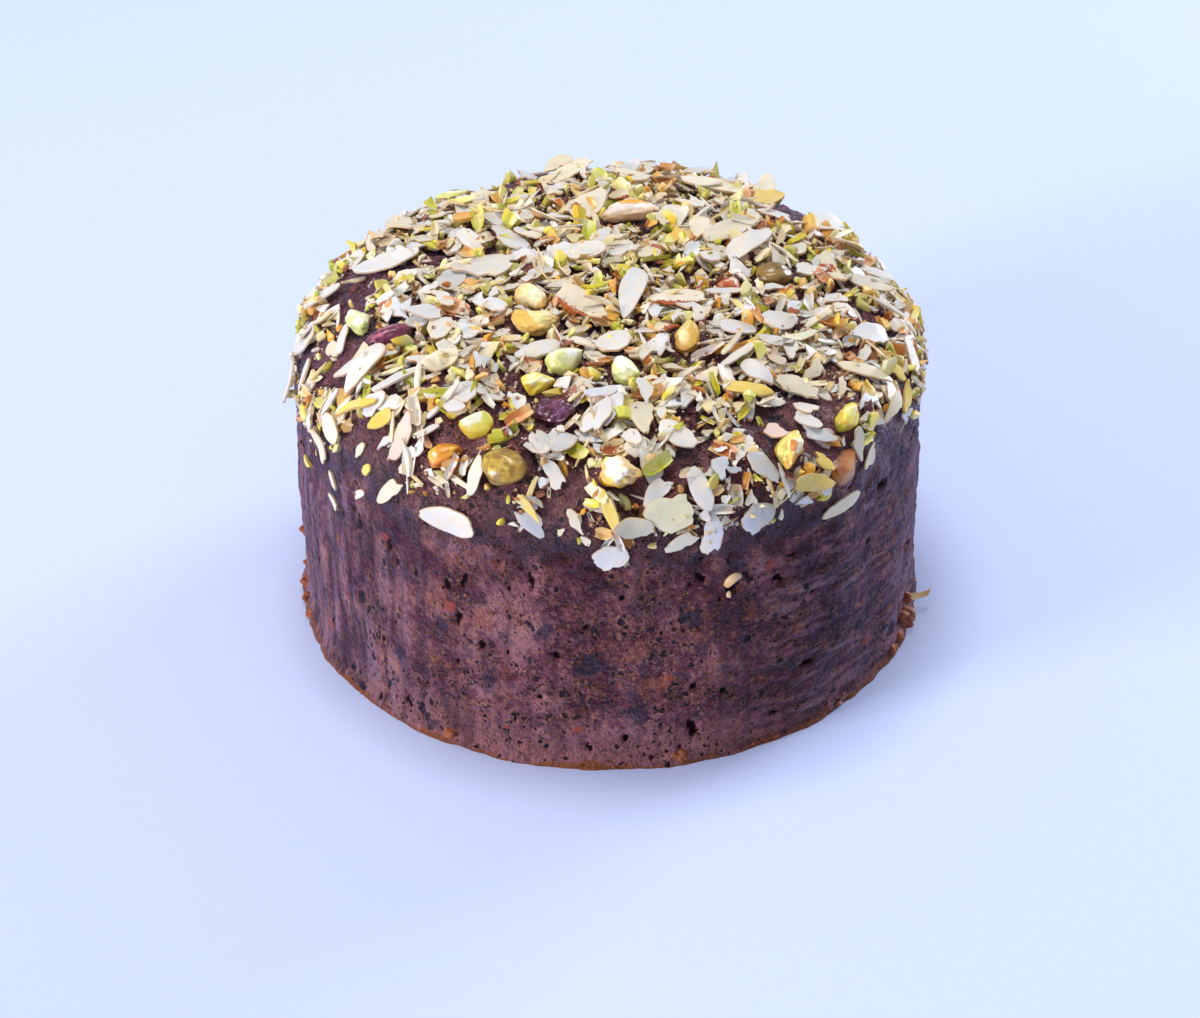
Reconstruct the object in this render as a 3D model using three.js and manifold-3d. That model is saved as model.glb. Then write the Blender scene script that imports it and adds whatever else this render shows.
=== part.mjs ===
// A round fruit cake of one tin, uncut, with chopped nuts and almond flakes pressed into its top.
// The cake stands on z = 0 with its axis on Z. The front is towards -Y. Sizes are in millimetres.
//
// A topping's place on the cake is given as a baker would reach it:
//   bearing  degrees round the axis, 0 at the front, growing to the right
//   reach    millimetres from the middle of the top, measured along the surface, over the shoulder
//   heading  degrees in the surface, 0 pointing away from the middle, growing with the bearing

import * as THREE from 'three';
import { mergeVertices } from 'three/addons/utils/BufferGeometryUtils.js';
import Module from 'manifold-3d';

const wasm = await Module();
wasm.setup();

// ---- driving dimensions -------------------------------------------------------------------

const TIN_RADIUS = 76;          // the wall, as the tin and its paper left it
const CAKE_HEIGHT = 86;         // the middle of the bare top
const SHOULDER_FOOT = 58;       // height where the wall starts to round over into the top
const SHOULDER_RISE_POWER = 3.5;
const SHOULDER_ROUND_POWER = 3;
const WALL_BULGE = 0.5;         // the wall swells this much at mid height
const FOOT_FLARE = 1.8;         // crumb squeezed out under the paper, at the very bottom
const FOOT_FLARE_HEIGHT = 7;
const NUT_BED = 1.0;            // depth of the fine chopped nuts between the larger ones
const NUT_BED_EDGE = 82;        // reach at which the nuts thin out over the shoulder
const NUT_BED_FADE = 12;
const NUT_EDGE_WANDER = 3;      // the nuts' edge wanders in and out, four times round
const NUT_EDGE_FRONT = 4;       // and lies further out at the front
const TOP_SWELL = 0.55;         // hills and hollows of the baked top
const TOP_FADE = 20;            // reach over which they fade into the wall's creases
const HILL_LENGTHS = [8.3, 7.1, 4.7];
const HILL_STARTS = [1.1, 0.4];
const SECOND_HILL = 0.6;
const WALL_CREASE = 0.27;       // folds that the paper lining pressed into the wall
const CREASE_WAVES = [14, 25];  // how many of them stand round the wall, and how they lean
const CREASE_LEANS = [31, 17];
const SECOND_CREASE = 0.6;
const RING_STEPS = 58;          // facets round the cake

const GAP = 0.3;                // between a large topping and the cake that holds it
const POCKET_DEPTH = 1.4;       // how far a large topping is pressed in
const FLAKE_THICKNESS = 1.6;
const FLAKE_TAPER = 0.35;
const SNAPPED_END = 0.2;        // what is left of a flake's end beyond its snap
const LAID_LIFT = 0.65;         // from the cake's surface to the middle of a laid flake
const LAID_POINTS = 8;
const LAID_SNAP = 0.9;
const STREWN_LIFT = 0.4;
const STREWN_POINTS = 6;
const STREWN_FLAKES = 79;
const STREWN_SEED = 20417;
const STREWN_REACH = 84;
const STREWN_LEAST_REACH = 2;
const STREWN_BEARING_SPREAD = 14;
const STREWN_REACH_SPREAD = 7;
const STREWN_LENGTHS = [6, 6];  // the least, and what the longest has more
const STREWN_WIDTHS = [3, 3];
const STREWN_SNAPS = [0.35, 0.65];
const STREWN_TIP = 22;
const STREWN_BANK = 26;
const LUMP_FLATNESS = 0.8;
const LUMP_SINK = 0.1;          // share of a lump's size that is inside the wall
const LUMP_LIFT = 0.42;         // least height of its middle, as a share of its size
const SCRAP = 0.1;              // edges shorter than this are closed up after cutting

const degrees = Math.PI / 180;
const GOLDEN_TURN = 137.508;

// The large toppings. Each is a node of its own, in a pocket of the cake.
// form, bearing, reach, heading, length, width, thickness
const LARGE_TOPPINGS = {
  raisin_dark: ['raisin', -71, 55, -6, 11.5, 6, 5],
  raisin_golden: ['raisin', -20, 70, 86, 11, 9, 5.5],
  raisin_olive: ['raisin', 96, 40, 4, 9, 8, 5],
  cranberry: ['raisin', -14, 52, -82, 9.5, 8, 3.4],
  pistachio_1: ['kernel', -30, 61, -77, 8.5, 7, 6],
  pistachio_2: ['kernel', -17, 35, -47, 8.5, 7, 6],
  pistachio_3: ['kernel', 5, 38, 22, 8.5, 6, 5],
  pistachio_4: ['kernel', -22, 44, -70, 8, 6, 5],
  pistachio_5: ['kernel', -80, 60, -71, 7, 6, 5],
  pistachio_6: ['kernel', 51, 71, -60, 9, 5.5, 5],
  pistachio_7: ['kernel', -144, 66, 40, 11, 5, 3.4],
  pistachio_8: ['kernel', 88, 29, -20, 7, 5.2, 4],
  cashew_1: ['crescent', 171, 33, -70, 15, 7, 6],
  cashew_2: ['crescent', -42, 27, -69, 12, 7, 6],
  peanut_1: ['kernel', -68, 20, -86, 10, 7, 6],
  peanut_2: ['kernel', 38, 30, -44, 12, 6, 5],
  peanut_3: ['kernel', -33, 70, -54, 8, 5.5, 5],
  walnut_1: ['lump', 2, 69, 72, 9.5, 8, 6.5],
  walnut_2: ['lump', 35, 71, -42, 11, 6.5, 6.5],
  almond_1: ['kernel', 46, 80, -70, 9.5, 7.5, 4.5],
};

const TOPPING_COLOURS = {
  raisin_dark: 0x6b2634,
  raisin_golden: 0x94702f,
  raisin_olive: 0x7d6a35,
  cranberry: 0x5a3050,
  pistachio: 0xdcc85a,
  cashew: 0xe4b269,
  peanut: 0xdc9f42,
  walnut: 0xe8bd5a,
  almond: 0xa86a34,
};

// The almond flakes that catch the eye, laid by hand.
// bearing, reach, heading, length, width, tip (outer end raised), bank (rolled on its length)
const LAID_FLAKES = [
  [-105, 56, 21, 18, 8, 0, 6],
  [-102, 31, 24, 15, 9, 0, 4],
  [-127, 30, -16, 13, 7, 4, 8],
  [-118, 38, -37, 12, 5, 6, -8],
  [-122, 60, -48, 13, 7, -10, 8],
  [-116, 63, -24, 12, 5, 0, 22],
  [-136, 54, -2, 10, 4, 0, 6],
  [-151, 13, 75, 12, 10.5, 0, 8],
  [-131, 15, -49, 9, 5, 5, 0],
  [-172, 36, -48, 13, 8, 0, 8],
  [175, 68, -86, 13, 8, 0, -14],
  [173, 51, 67, 10, 5, 0, 5],
  [-171, 60, -49, 17, 5, 6, 5],
  [151, 55, -77, 18, 6, 0, 6],
  [150, 61, 63, 10, 6, 4, 8],
  [127, 38, 7, 20, 6, 0, 7],
  [113, 37, 24, 16, 6, 5, -6],
  [-26, 14, 64, 17, 8, 0, 9],
  [34, 10, -47, 18, 6, -8, 5],
  [60, 19, 29, 14, 8, 0, 9],
  [-63, 64, 20, 15, 8, 0, 6],
  [-43, 71, 6, 12, 4.5, 0, 5],
  [-29, 84, -88, 15, 6.5, 0, 0],
  [-25, 73, 1, 10, 3.5, 8, 0],
  [-11, 69, 44, 8, 4, 0, 8],
  [0, 87, -70, 8.5, 7, 0, 3],
  [10, 78, 87, 11.5, 9, 0, 5],
  [16, 74, 15, 11, 4.5, 0, 8],
  [26, 82, -72, 9, 6.5, 0, 6],
  [12, 85, -67, 8.5, 4, 0, 5],
  [62, 76, -77, 10, 4, 0, 12],
  [37, 79, 68, 10, 4.5, 0, 10],
  [44, 89, -81, 12, 3.5, 0, 6],
  [8, 54, 0, 11, 6, 6, 5],
  [-10, 62, -31, 8, 5, 0, 8],
  [4, 80, 84, 10, 5, 0, 5],
  [-73, 45, -38, 9, 7, 0, 8],
  [-86, 75, 46, 10, 6, 0, 5],
  [-77, 77, 55, 9, 5, 0, 8],
  [-54, 61, -19, 13, 4.5, 0, 6],
  [-37, 55, 51, 8, 6, 5, 5],
  [98, 49, -30, 8, 6, 0, 6],
  [102, 67, -54, 9, 6, 0, 8],
  [121, 64, 5, 13, 9, 5, 8],
  [55, 37, 31, 9, 7, 0, 6],
  [42, 44, -83, 13, 4, 0, 8],
  [76, 64, 30, 10, 6, 0, 5],
  [64, 67, 26, 14, 3.5, 0, 6],
  [36, 54, 49, 12, 3.5, 0, 5],
  [2, 28, -71, 9, 7, 0, 6],
  [-29, 34, -35, 12, 4, 0, 8],
];

// Spots that the nuts left bare: bearing, reach, radius
const BARE_SPOTS = [
  [-152, 69, 13],
  [137, 69, 14],
  [19, 67, 6],
  [-9, 75, 5],
  [-107, 43, 5],
  [-50, 83, 11],
  [54, 85, 9],
];

// Crumb that sticks out at the foot of the wall: bearing, height, size
const FOOT_LUMPS = [
  [72, 4, 8],
  [-89, 16, 5],
  [-30, 2.5, 4],
  [12, 2.5, 5],
];

// ---- the surface of the cake --------------------------------------------------------------

const SHOULDER_SAMPLES = 300;

/** The rounded top and shoulder as points with the length walked from the middle. */
function walkShoulder() {
  const walk = [{ length: 0, radius: 0, height: CAKE_HEIGHT }];
  for (let i = 1; i <= SHOULDER_SAMPLES; i += 1) {
    const turn = (Math.PI / 2) * (1 - i / SHOULDER_SAMPLES);
    const radius = TIN_RADIUS * Math.cos(turn) ** (2 / SHOULDER_ROUND_POWER);
    const rise = Math.sin(turn) ** (2 / SHOULDER_RISE_POWER);
    const height = SHOULDER_FOOT + (CAKE_HEIGHT - SHOULDER_FOOT) * rise;
    const last = walk[i - 1];
    const step = Math.hypot(radius - last.radius, height - last.height);
    walk.push({ length: last.length + step, radius, height });
  }
  return walk;
}

const SHOULDER = walkShoulder();
const SHOULDER_LENGTH = SHOULDER[SHOULDER_SAMPLES].length;

/** Radius of the upright wall at a height. */
function wallRadius(height) {
  const bulge = WALL_BULGE * Math.sin((Math.PI * height) / SHOULDER_FOOT);
  const flare = FOOT_FLARE * Math.max(0, 1 - height / FOOT_FLARE_HEIGHT) ** 2;
  return TIN_RADIUS + bulge + flare;
}

/** Radius and height of the bare cake at a reach. */
function profile(reach) {
  if (reach >= SHOULDER_LENGTH) {
    const height = Math.max(0, SHOULDER_FOOT - (reach - SHOULDER_LENGTH));
    return { radius: wallRadius(height), height };
  }
  const after = SHOULDER.findIndex((point) => point.length > reach);
  const low = SHOULDER[after - 1];
  const high = SHOULDER[after];
  const share = (reach - low.length) / (high.length - low.length);
  return {
    radius: low.radius + share * (high.radius - low.radius),
    height: low.height + share * (high.height - low.height),
  };
}

/** Point on the bare cake, with the directions outward along it, round it and out of it. */
function seat(bearing, reach) {
  const NEAR = 1.5;
  const here = profile(reach);
  const before = profile(Math.max(0, reach - NEAR));
  const beyond = profile(reach + NEAR);
  const slope = Math.atan2(beyond.height - before.height, beyond.radius - before.radius);
  const angle = bearing * degrees;
  const away = new THREE.Vector3(Math.sin(angle), -Math.cos(angle), 0);
  const round = new THREE.Vector3(Math.cos(angle), Math.sin(angle), 0);
  const outward = away.clone().multiplyScalar(Math.cos(slope));
  outward.z = Math.sin(slope);
  const normal = away.clone().multiplyScalar(-Math.sin(slope));
  normal.z = Math.cos(slope);
  const point = away.multiplyScalar(here.radius);
  point.z = here.height;
  return { point, outward, round, normal };
}

/** A number held between 0 and 1. */
function share(number) {
  return THREE.MathUtils.clamp(number, 0, 1);
}

/** Relief of the cake at a reach and bearing: hills on top, paper creases on the wall. */
function relief(bearing, reach) {
  const { radius } = profile(reach);
  const angle = bearing * degrees;
  const x = radius * Math.sin(angle);
  const y = -radius * Math.cos(angle);
  const onTop = share((SHOULDER_LENGTH - reach) / TOP_FADE);
  const [wide, long, slant] = HILL_LENGTHS;
  const hills = Math.sin(x / wide + HILL_STARTS[0]) * Math.cos(y / long - HILL_STARTS[1])
    + SECOND_HILL * Math.sin((x - y) / slant);
  const creases = Math.sin(CREASE_WAVES[0] * angle + reach / CREASE_LEANS[0])
    + SECOND_CREASE * Math.sin(CREASE_WAVES[1] * angle - reach / CREASE_LEANS[1]);
  const bed = NUT_BED * share((NUT_BED_EDGE - reach) / NUT_BED_FADE);
  return bed + onTop * TOP_SWELL * hills + (1 - onTop) * WALL_CREASE * creases;
}

/** Whether a place lies in one of the bare spots. */
function isBare(bearing, reach) {
  return BARE_SPOTS.some(([spotBearing, spotReach, spotRadius]) => {
    const turn = (bearing - spotBearing) * degrees;
    const apart = Math.sqrt(
      reach ** 2 + spotReach ** 2 - 2 * reach * spotReach * Math.cos(turn),
    );
    return apart < spotRadius;
  });
}

// ---- solids -------------------------------------------------------------------------------

/** A closed geometry as a solid for joining and cutting, without its zero-size triangles. */
function toSolid(geometry) {
  const bare = geometry.clone();
  bare.deleteAttribute('normal');
  bare.deleteAttribute('uv');
  const merged = mergeVertices(bare, 1e-4);
  const corners = Array.from(merged.index.array);
  const triangles = [];
  for (let i = 0; i < corners.length; i += 3) {
    const [a, b, c] = corners.slice(i, i + 3);
    if (a !== b && b !== c && c !== a) {
      triangles.push(a, b, c);
    }
  }
  const mesh = new wasm.Mesh({
    numProp: 3,
    vertProperties: Float32Array.from(merged.attributes.position.array),
    triVerts: Uint32Array.from(triangles),
  });
  return new wasm.Manifold(mesh);
}

/** A solid as a geometry with flat shading. */
function toGeometry(solid) {
  const mesh = solid.getMesh();
  const geometry = new THREE.BufferGeometry();
  geometry.setAttribute('position', new THREE.BufferAttribute(mesh.vertProperties, 3));
  geometry.setIndex(new THREE.BufferAttribute(mesh.triVerts, 1));
  geometry.computeVertexNormals();
  return geometry;
}

/** The largest connected body of a solid: loose scraps are dropped, sealed hollows filled. */
function mainBody(solid) {
  const bodies = solid.decompose();
  return bodies.reduce((best, body) => (body.volume() > best.volume() ? body : best));
}

/** Moves each corner of a geometry by a function that gets and returns a Vector3. */
function reshape(geometry, move) {
  const corners = geometry.attributes.position;
  const corner = new THREE.Vector3();
  for (let i = 0; i < corners.count; i += 1) {
    corner.fromBufferAttribute(corners, i);
    const moved = move(corner);
    corners.setXYZ(i, moved.x, moved.y, moved.z);
  }
  return geometry;
}

/** Puts a geometry, modelled flat round its own centre, on the cake's hills and hollows. */
function place(geometry, { bearing, reach, heading, lift, tip = 0, bank = 0 }) {
  const { point, outward, round, normal } = seat(bearing, reach);
  const turn = heading * degrees;
  const along = outward.clone().multiplyScalar(Math.cos(turn));
  along.addScaledVector(round, Math.sin(turn));
  const across = normal.clone().cross(along);
  const centre = point.addScaledVector(normal, relief(bearing, reach) + lift);
  const tilt = new THREE.Matrix4().makeRotationFromEuler(
    new THREE.Euler(bank * degrees, -tip * degrees, 0, 'YXZ'),
  );
  const frame = new THREE.Matrix4().makeBasis(along, across, normal).setPosition(centre);
  return geometry.applyMatrix4(frame.multiply(tilt));
}

// ---- the cake -----------------------------------------------------------------------------

/** The baked body: one turned form with its hills, creases and flared foot. */
function makeCakeBody() {
  const FIRST_RING = 8;
  const TOP_RING_STEP = 14;
  const SHOULDER_RING_STEP = 6.5;
  const FLAT_TOP_REACH = 65;
  const WALL_HEIGHTS = [50, 38, 25, 13, FOOT_FLARE_HEIGHT, 3.5, 0];
  const reaches = [];
  for (let reach = FIRST_RING; reach < FLAT_TOP_REACH; reach += TOP_RING_STEP) {
    reaches.push(reach);
  }
  for (let reach = FLAT_TOP_REACH; reach < SHOULDER_LENGTH; reach += SHOULDER_RING_STEP) {
    reaches.push(reach);
  }
  WALL_HEIGHTS.forEach((height) => reaches.push(SHOULDER_LENGTH + SHOULDER_FOOT - height));

  const outline = [new THREE.Vector2(0, CAKE_HEIGHT + NUT_BED)];
  reaches.forEach((reach) => {
    const { radius, height } = profile(reach);
    outline.push(new THREE.Vector2(radius, height));
  });
  outline.push(new THREE.Vector2(0, 0));
  outline.reverse();

  const turned = new THREE.LatheGeometry(outline, RING_STEPS);
  turned.rotateX(Math.PI / 2);
  const rings = outline.length;
  const corners = turned.attributes.position;
  for (let step = 0; step <= RING_STEPS; step += 1) {
    const first = (step % RING_STEPS) * rings;
    const bearing = Math.atan2(corners.getX(first + 1), -corners.getY(first + 1)) / degrees;
    reaches.forEach((reach, ring) => {
      const corner = step * rings + (rings - 2 - ring);
      const { point, normal } = seat(bearing, reach);
      const bottomRing = ring === reaches.length - 1;
      point.addScaledVector(normal, bottomRing ? 0 : relief(bearing, reach));
      corners.setXYZ(corner, point.x, point.y, bottomRing ? 0 : point.z);
    });
  }
  return toSolid(turned);
}

/** A lump of crumb at the foot of the wall. */
function makeFootLump([bearing, height, size]) {
  const lump = new THREE.IcosahedronGeometry(size / 2, 0);
  lump.scale(1, 1, LUMP_FLATNESS);
  const angle = bearing * degrees;
  const radius = wallRadius(height) - LUMP_SINK * size;
  const middle = Math.max(height, LUMP_LIFT * size);
  lump.translate(radius * Math.sin(angle), -radius * Math.cos(angle), middle);
  return toSolid(lump);
}

// ---- almond flakes ------------------------------------------------------------------------

/** A slice of almond: round at one end, pointed at the other, or snapped off blunt. */
function flakeGeometry(length, width, snap, points) {
  const outline = [];
  for (let i = 0; i < points; i += 1) {
    const angle = (2 * Math.PI * (i + 0.5)) / points;
    const taper = 1 - FLAKE_TAPER * Math.cos(angle);
    const x = (length / 2) * Math.cos(angle);
    const y = (width / 2) * Math.sin(angle) * taper;
    const limit = (length / 2) * snap;
    outline.push(new THREE.Vector2(x > limit ? limit + SNAPPED_END * (x - limit) : x, y));
  }
  const slice = new THREE.ExtrudeGeometry(new THREE.Shape(outline), {
    depth: FLAKE_THICKNESS,
    bevelEnabled: false,
  });
  return slice.translate(0, 0, -FLAKE_THICKNESS / 2);
}

/** Repeatable draws between 0 and 1. */
function dice(seed) {
  let state = seed;
  return () => {
    state = (state * 1664525 + 1013904223) % 4294967296;
    return state / 4294967296;
  };
}

/** Reach at which the nuts end at a bearing. */
function nutEdge(bearing) {
  const angle = bearing * degrees;
  return NUT_BED_EDGE + NUT_EDGE_WANDER * Math.sin(4 * angle) + NUT_EDGE_FRONT * Math.cos(angle);
}

/** The strewn flakes: spread evenly by the golden angle, each a little off its mark. */
function strewFlakes() {
  const draw = dice(STREWN_SEED);
  const strewn = [];
  for (let i = 0; i < STREWN_FLAKES; i += 1) {
    const wander = draw() - 0.5;
    const turn = i * GOLDEN_TURN + STREWN_BEARING_SPREAD * (draw() - 0.5);
    const bearing = ((turn + 180) % 360) - 180;
    const reach = STREWN_REACH * Math.sqrt((i + 0.5) / STREWN_FLAKES) + STREWN_REACH_SPREAD * wander;
    const flake = {
      bearing,
      reach,
      heading: 180 * draw() - 90,
      length: STREWN_LENGTHS[0] + STREWN_LENGTHS[1] * draw() ** 1.5,
      width: STREWN_WIDTHS[0] + STREWN_WIDTHS[1] * draw(),
      tip: STREWN_TIP * (draw() - 0.5),
      bank: STREWN_BANK * (draw() - 0.5),
      snap: STREWN_SNAPS[0] + STREWN_SNAPS[1] * draw(),
      points: STREWN_POINTS,
      lift: STREWN_LIFT,
    };
    if (reach > STREWN_LEAST_REACH && reach < nutEdge(bearing) && !isBare(bearing, reach)) {
      strewn.push(flake);
    }
  }
  return strewn;
}

/** All flakes as solids: the strewn ones below, the laid ones over them. */
function makeFlakes() {
  const laid = LAID_FLAKES.map(([bearing, reach, heading, length, width, tip, bank]) => (
    {
      bearing,
      reach,
      heading,
      length,
      width,
      tip,
      bank,
      snap: LAID_SNAP,
      points: LAID_POINTS,
      lift: LAID_LIFT,
    }
  ));
  return [...strewFlakes(), ...laid].map((flake) => {
    const slice = flakeGeometry(flake.length, flake.width, flake.snap, flake.points);
    return toSolid(place(slice, flake));
  });
}

// ---- large toppings -----------------------------------------------------------------------

const TOPPING_FORMS = {
  /** A nut half: domed above, flat where it split, fuller at one end. */
  kernel: (corner) => {
    const SPLIT = -0.45;
    const fuller = 1 + 0.16 * corner.x;
    const z = corner.z < SPLIT ? SPLIT + 0.25 * (corner.z - SPLIT) : corner.z;
    return new THREE.Vector3(corner.x, corner.y * fuller, z * fuller);
  },
  /** A cashew: a thick crescent. */
  crescent: (corner) => new THREE.Vector3(
    corner.x,
    corner.y * 0.75 + 0.5 * (0.4 - corner.x ** 2),
    corner.z * (1 - 0.12 * corner.x),
  ),
  /** A dried berry, with long shallow wrinkles. */
  raisin: (corner) => {
    const wrinkle = 1 + 0.07 * Math.cos(5 * Math.atan2(corner.z, corner.y)) * (1 - corner.x ** 2);
    return new THREE.Vector3(corner.x, corner.y * wrinkle, corner.z * wrinkle);
  },
  /** A broken nut with lobes. */
  lump: (corner) => {
    const lobes = 1 + 0.12 * Math.sin(4 * corner.x + 2) + 0.1 * Math.sin(5 * corner.y + corner.z);
    return corner.clone().multiplyScalar(lobes);
  },
};

/** A large topping, grown by a margin all over when it cuts its own pocket. */
function largeToppingSolid([form, bearing, reach, heading, length, width, thickness], margin) {
  const ROUND_STEPS = 10;
  const END_STEPS = 7;
  const body = new THREE.SphereGeometry(1, ROUND_STEPS, END_STEPS);
  body.rotateZ(Math.PI / 2);
  reshape(body, TOPPING_FORMS[form]);
  body.scale(length / 2, width / 2, thickness / 2);
  const shell = mergeVertices(body.deleteAttribute('normal').deleteAttribute('uv'), 1e-4);
  shell.computeVertexNormals();
  const outward = shell.attributes.normal.clone();
  const corners = shell.attributes.position;
  for (let i = 0; i < corners.count; i += 1) {
    corners.setXYZ(
      i,
      corners.getX(i) + margin * outward.getX(i),
      corners.getY(i) + margin * outward.getY(i),
      corners.getZ(i) + margin * outward.getZ(i),
    );
  }
  const lift = thickness / 2 - POCKET_DEPTH;
  return toSolid(place(shell, { bearing, reach, heading, lift }));
}

// ---- assembly -----------------------------------------------------------------------------

/** The cake with its flakes fused on and a pocket under each large topping. */
function makeCake() {
  const joined = [...FOOT_LUMPS.map(makeFootLump), ...makeFlakes()].reduce(
    (cake, piece) => cake.add(piece),
    makeCakeBody(),
  );
  const pocketed = Object.values(LARGE_TOPPINGS).reduce(
    (cake, topping) => cake.subtract(largeToppingSolid(topping, GAP)),
    joined,
  );
  const BELOW = 20;
  const below = new THREE.BoxGeometry(4 * TIN_RADIUS, 4 * TIN_RADIUS, BELOW);
  const floor = toSolid(below.translate(0, 0, -BELOW / 2));
  return mainBody(pocketed.subtract(floor).simplify(SCRAP));
}

/** A named mesh with its own finish. */
function node(name, geometry, color, roughness) {
  const mesh = new THREE.Mesh(
    geometry,
    new THREE.MeshStandardMaterial({ color, roughness, metalness: 0, flatShading: true }),
  );
  mesh.name = name;
  return mesh;
}

const group = new THREE.Group();
group.add(node('cake', toGeometry(makeCake()), 0x5a3a35, 0.6));
Object.entries(LARGE_TOPPINGS).forEach(([name, topping]) => {
  const colour = TOPPING_COLOURS[name] ?? TOPPING_COLOURS[name.replace(/_\d+$/, '')];
  group.add(node(name, toGeometry(largeToppingSolid(topping, 0)), colour, 0.5));
});

export default group;
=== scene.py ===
"""A round dark fruit cake, its top strewn with almond flakes, chopped nuts and dried fruit.

Inside the script sizes are in millimetres, and a place on the cake is given as a baker reaches it:
  bearing  degrees round the axis, 0 at the front (-Y), growing to the right (+X)
  reach    millimetres from the middle of the top, measured along the surface, over the shoulder
  heading  degrees in the surface, 0 pointing away from the middle, growing with the bearing
"""

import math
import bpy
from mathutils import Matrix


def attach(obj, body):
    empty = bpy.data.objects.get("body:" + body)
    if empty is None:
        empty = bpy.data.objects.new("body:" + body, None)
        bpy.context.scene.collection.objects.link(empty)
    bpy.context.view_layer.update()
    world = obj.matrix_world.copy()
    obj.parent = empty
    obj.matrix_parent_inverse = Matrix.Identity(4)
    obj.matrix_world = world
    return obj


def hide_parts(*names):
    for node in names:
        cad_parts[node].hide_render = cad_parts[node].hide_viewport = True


bl_info = {
    "name": "Fruit Cake",
    "version": (1, 0, 0),
    "blender": (4, 5, 0),
    "location": "View3D > Sidebar > Fruit Cake",
    "description": "Models a nut-topped fruit cake on its packed frame",
    "category": "Add Mesh",
}

import bpy
import numpy as np
from bpy.props import FloatProperty, FloatVectorProperty, IntProperty, PointerProperty
from mathutils import Matrix

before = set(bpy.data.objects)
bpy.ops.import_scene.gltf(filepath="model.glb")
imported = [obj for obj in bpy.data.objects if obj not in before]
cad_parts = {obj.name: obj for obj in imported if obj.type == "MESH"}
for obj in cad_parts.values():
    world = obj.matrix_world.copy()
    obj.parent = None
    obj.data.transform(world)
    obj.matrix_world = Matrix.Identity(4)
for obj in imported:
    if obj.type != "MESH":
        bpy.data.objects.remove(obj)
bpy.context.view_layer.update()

MM = 0.001

# ---- form of the bare cake -----------------------------------------------------------------

SHOULDER_RISE_POWER = 3.5
SHOULDER_ROUND_POWER = 3
SHOULDER_SAMPLES = 300
FOOT_FLARE_HEIGHT = 7
NUT_BED = 1.0
NUT_BED_EDGE = 82
NUT_BED_SLOPE = 12
TOP_SWELL = 0.55
WALL_CREASE = 0.27
CREASE_WAVES = (14, 25)

RING_STEPS = 660
MIDDLE_RING_STEP = 2.5
MIDDLE_REACH = 50
TOP_RING_STEP = 1.0
WALL_RING_STEP = 0.7

POCKET_DEPTH = 1.4

# The large toppings, each in place of the node of that name.
# form, bearing, reach, heading, length, width, thickness, finish
LARGE_TOPPINGS = {
    "raisin_dark": ("raisin", -71, 55, -6, 11.5, 6, 5, "raisin_dark"),
    "raisin_golden": ("raisin", -20, 70, 86, 11, 9, 5.5, "raisin_golden"),
    "raisin_olive": ("raisin", 96, 40, 4, 9, 8, 5, "raisin_olive"),
    "cranberry": ("crumpled", -14, 52, -82, 9.5, 8, 3.4, "cranberry"),
    "pistachio_1": ("kernel", -30, 61, -77, 8.5, 7, 6, "pistachio_yellow"),
    "pistachio_2": ("kernel", -17, 35, -47, 8.5, 7, 6, "pistachio_pale"),
    "pistachio_3": ("kernel", 5, 38, 22, 8.5, 6, 5, "pistachio_pale"),
    "pistachio_4": ("kernel", -22, 44, -70, 8, 6, 5, "pistachio_yellow"),
    "pistachio_5": ("kernel", -80, 60, -71, 7, 6, 5, "pistachio_pale"),
    "pistachio_6": ("kernel", 51, 71, -60, 9, 5.5, 5, "pistachio_leaf"),
    "pistachio_7": ("kernel", -144, 66, 40, 11, 5, 3.4, "pistachio_olive"),
    "pistachio_8": ("kernel", 88, 29, -20, 7, 5.2, 4, "red_kernel"),
    "cashew_1": ("crescent", 171, 33, -70, 15, 7, 6, "cashew"),
    "cashew_2": ("crescent", -42, 27, -69, 12, 7, 6, "cashew_gold"),
    "peanut_1": ("kernel", -68, 20, -86, 10, 7, 6, "peanut_pale"),
    "peanut_2": ("kernel", 38, 30, -44, 12, 6, 5, "peanut_gold"),
    "peanut_3": ("kernel", -33, 70, -54, 8, 5.5, 5, "peanut_orange"),
    "walnut_1": ("lump", 2, 69, 72, 9.5, 8, 6.5, "walnut"),
    "walnut_2": ("lump", 35, 71, -42, 11, 6.5, 6.5, "walnut_streaked"),
    "almond_1": ("kernel", 46, 80, -70, 9.5, 7.5, 4.5, "almond_skin"),
}

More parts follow.
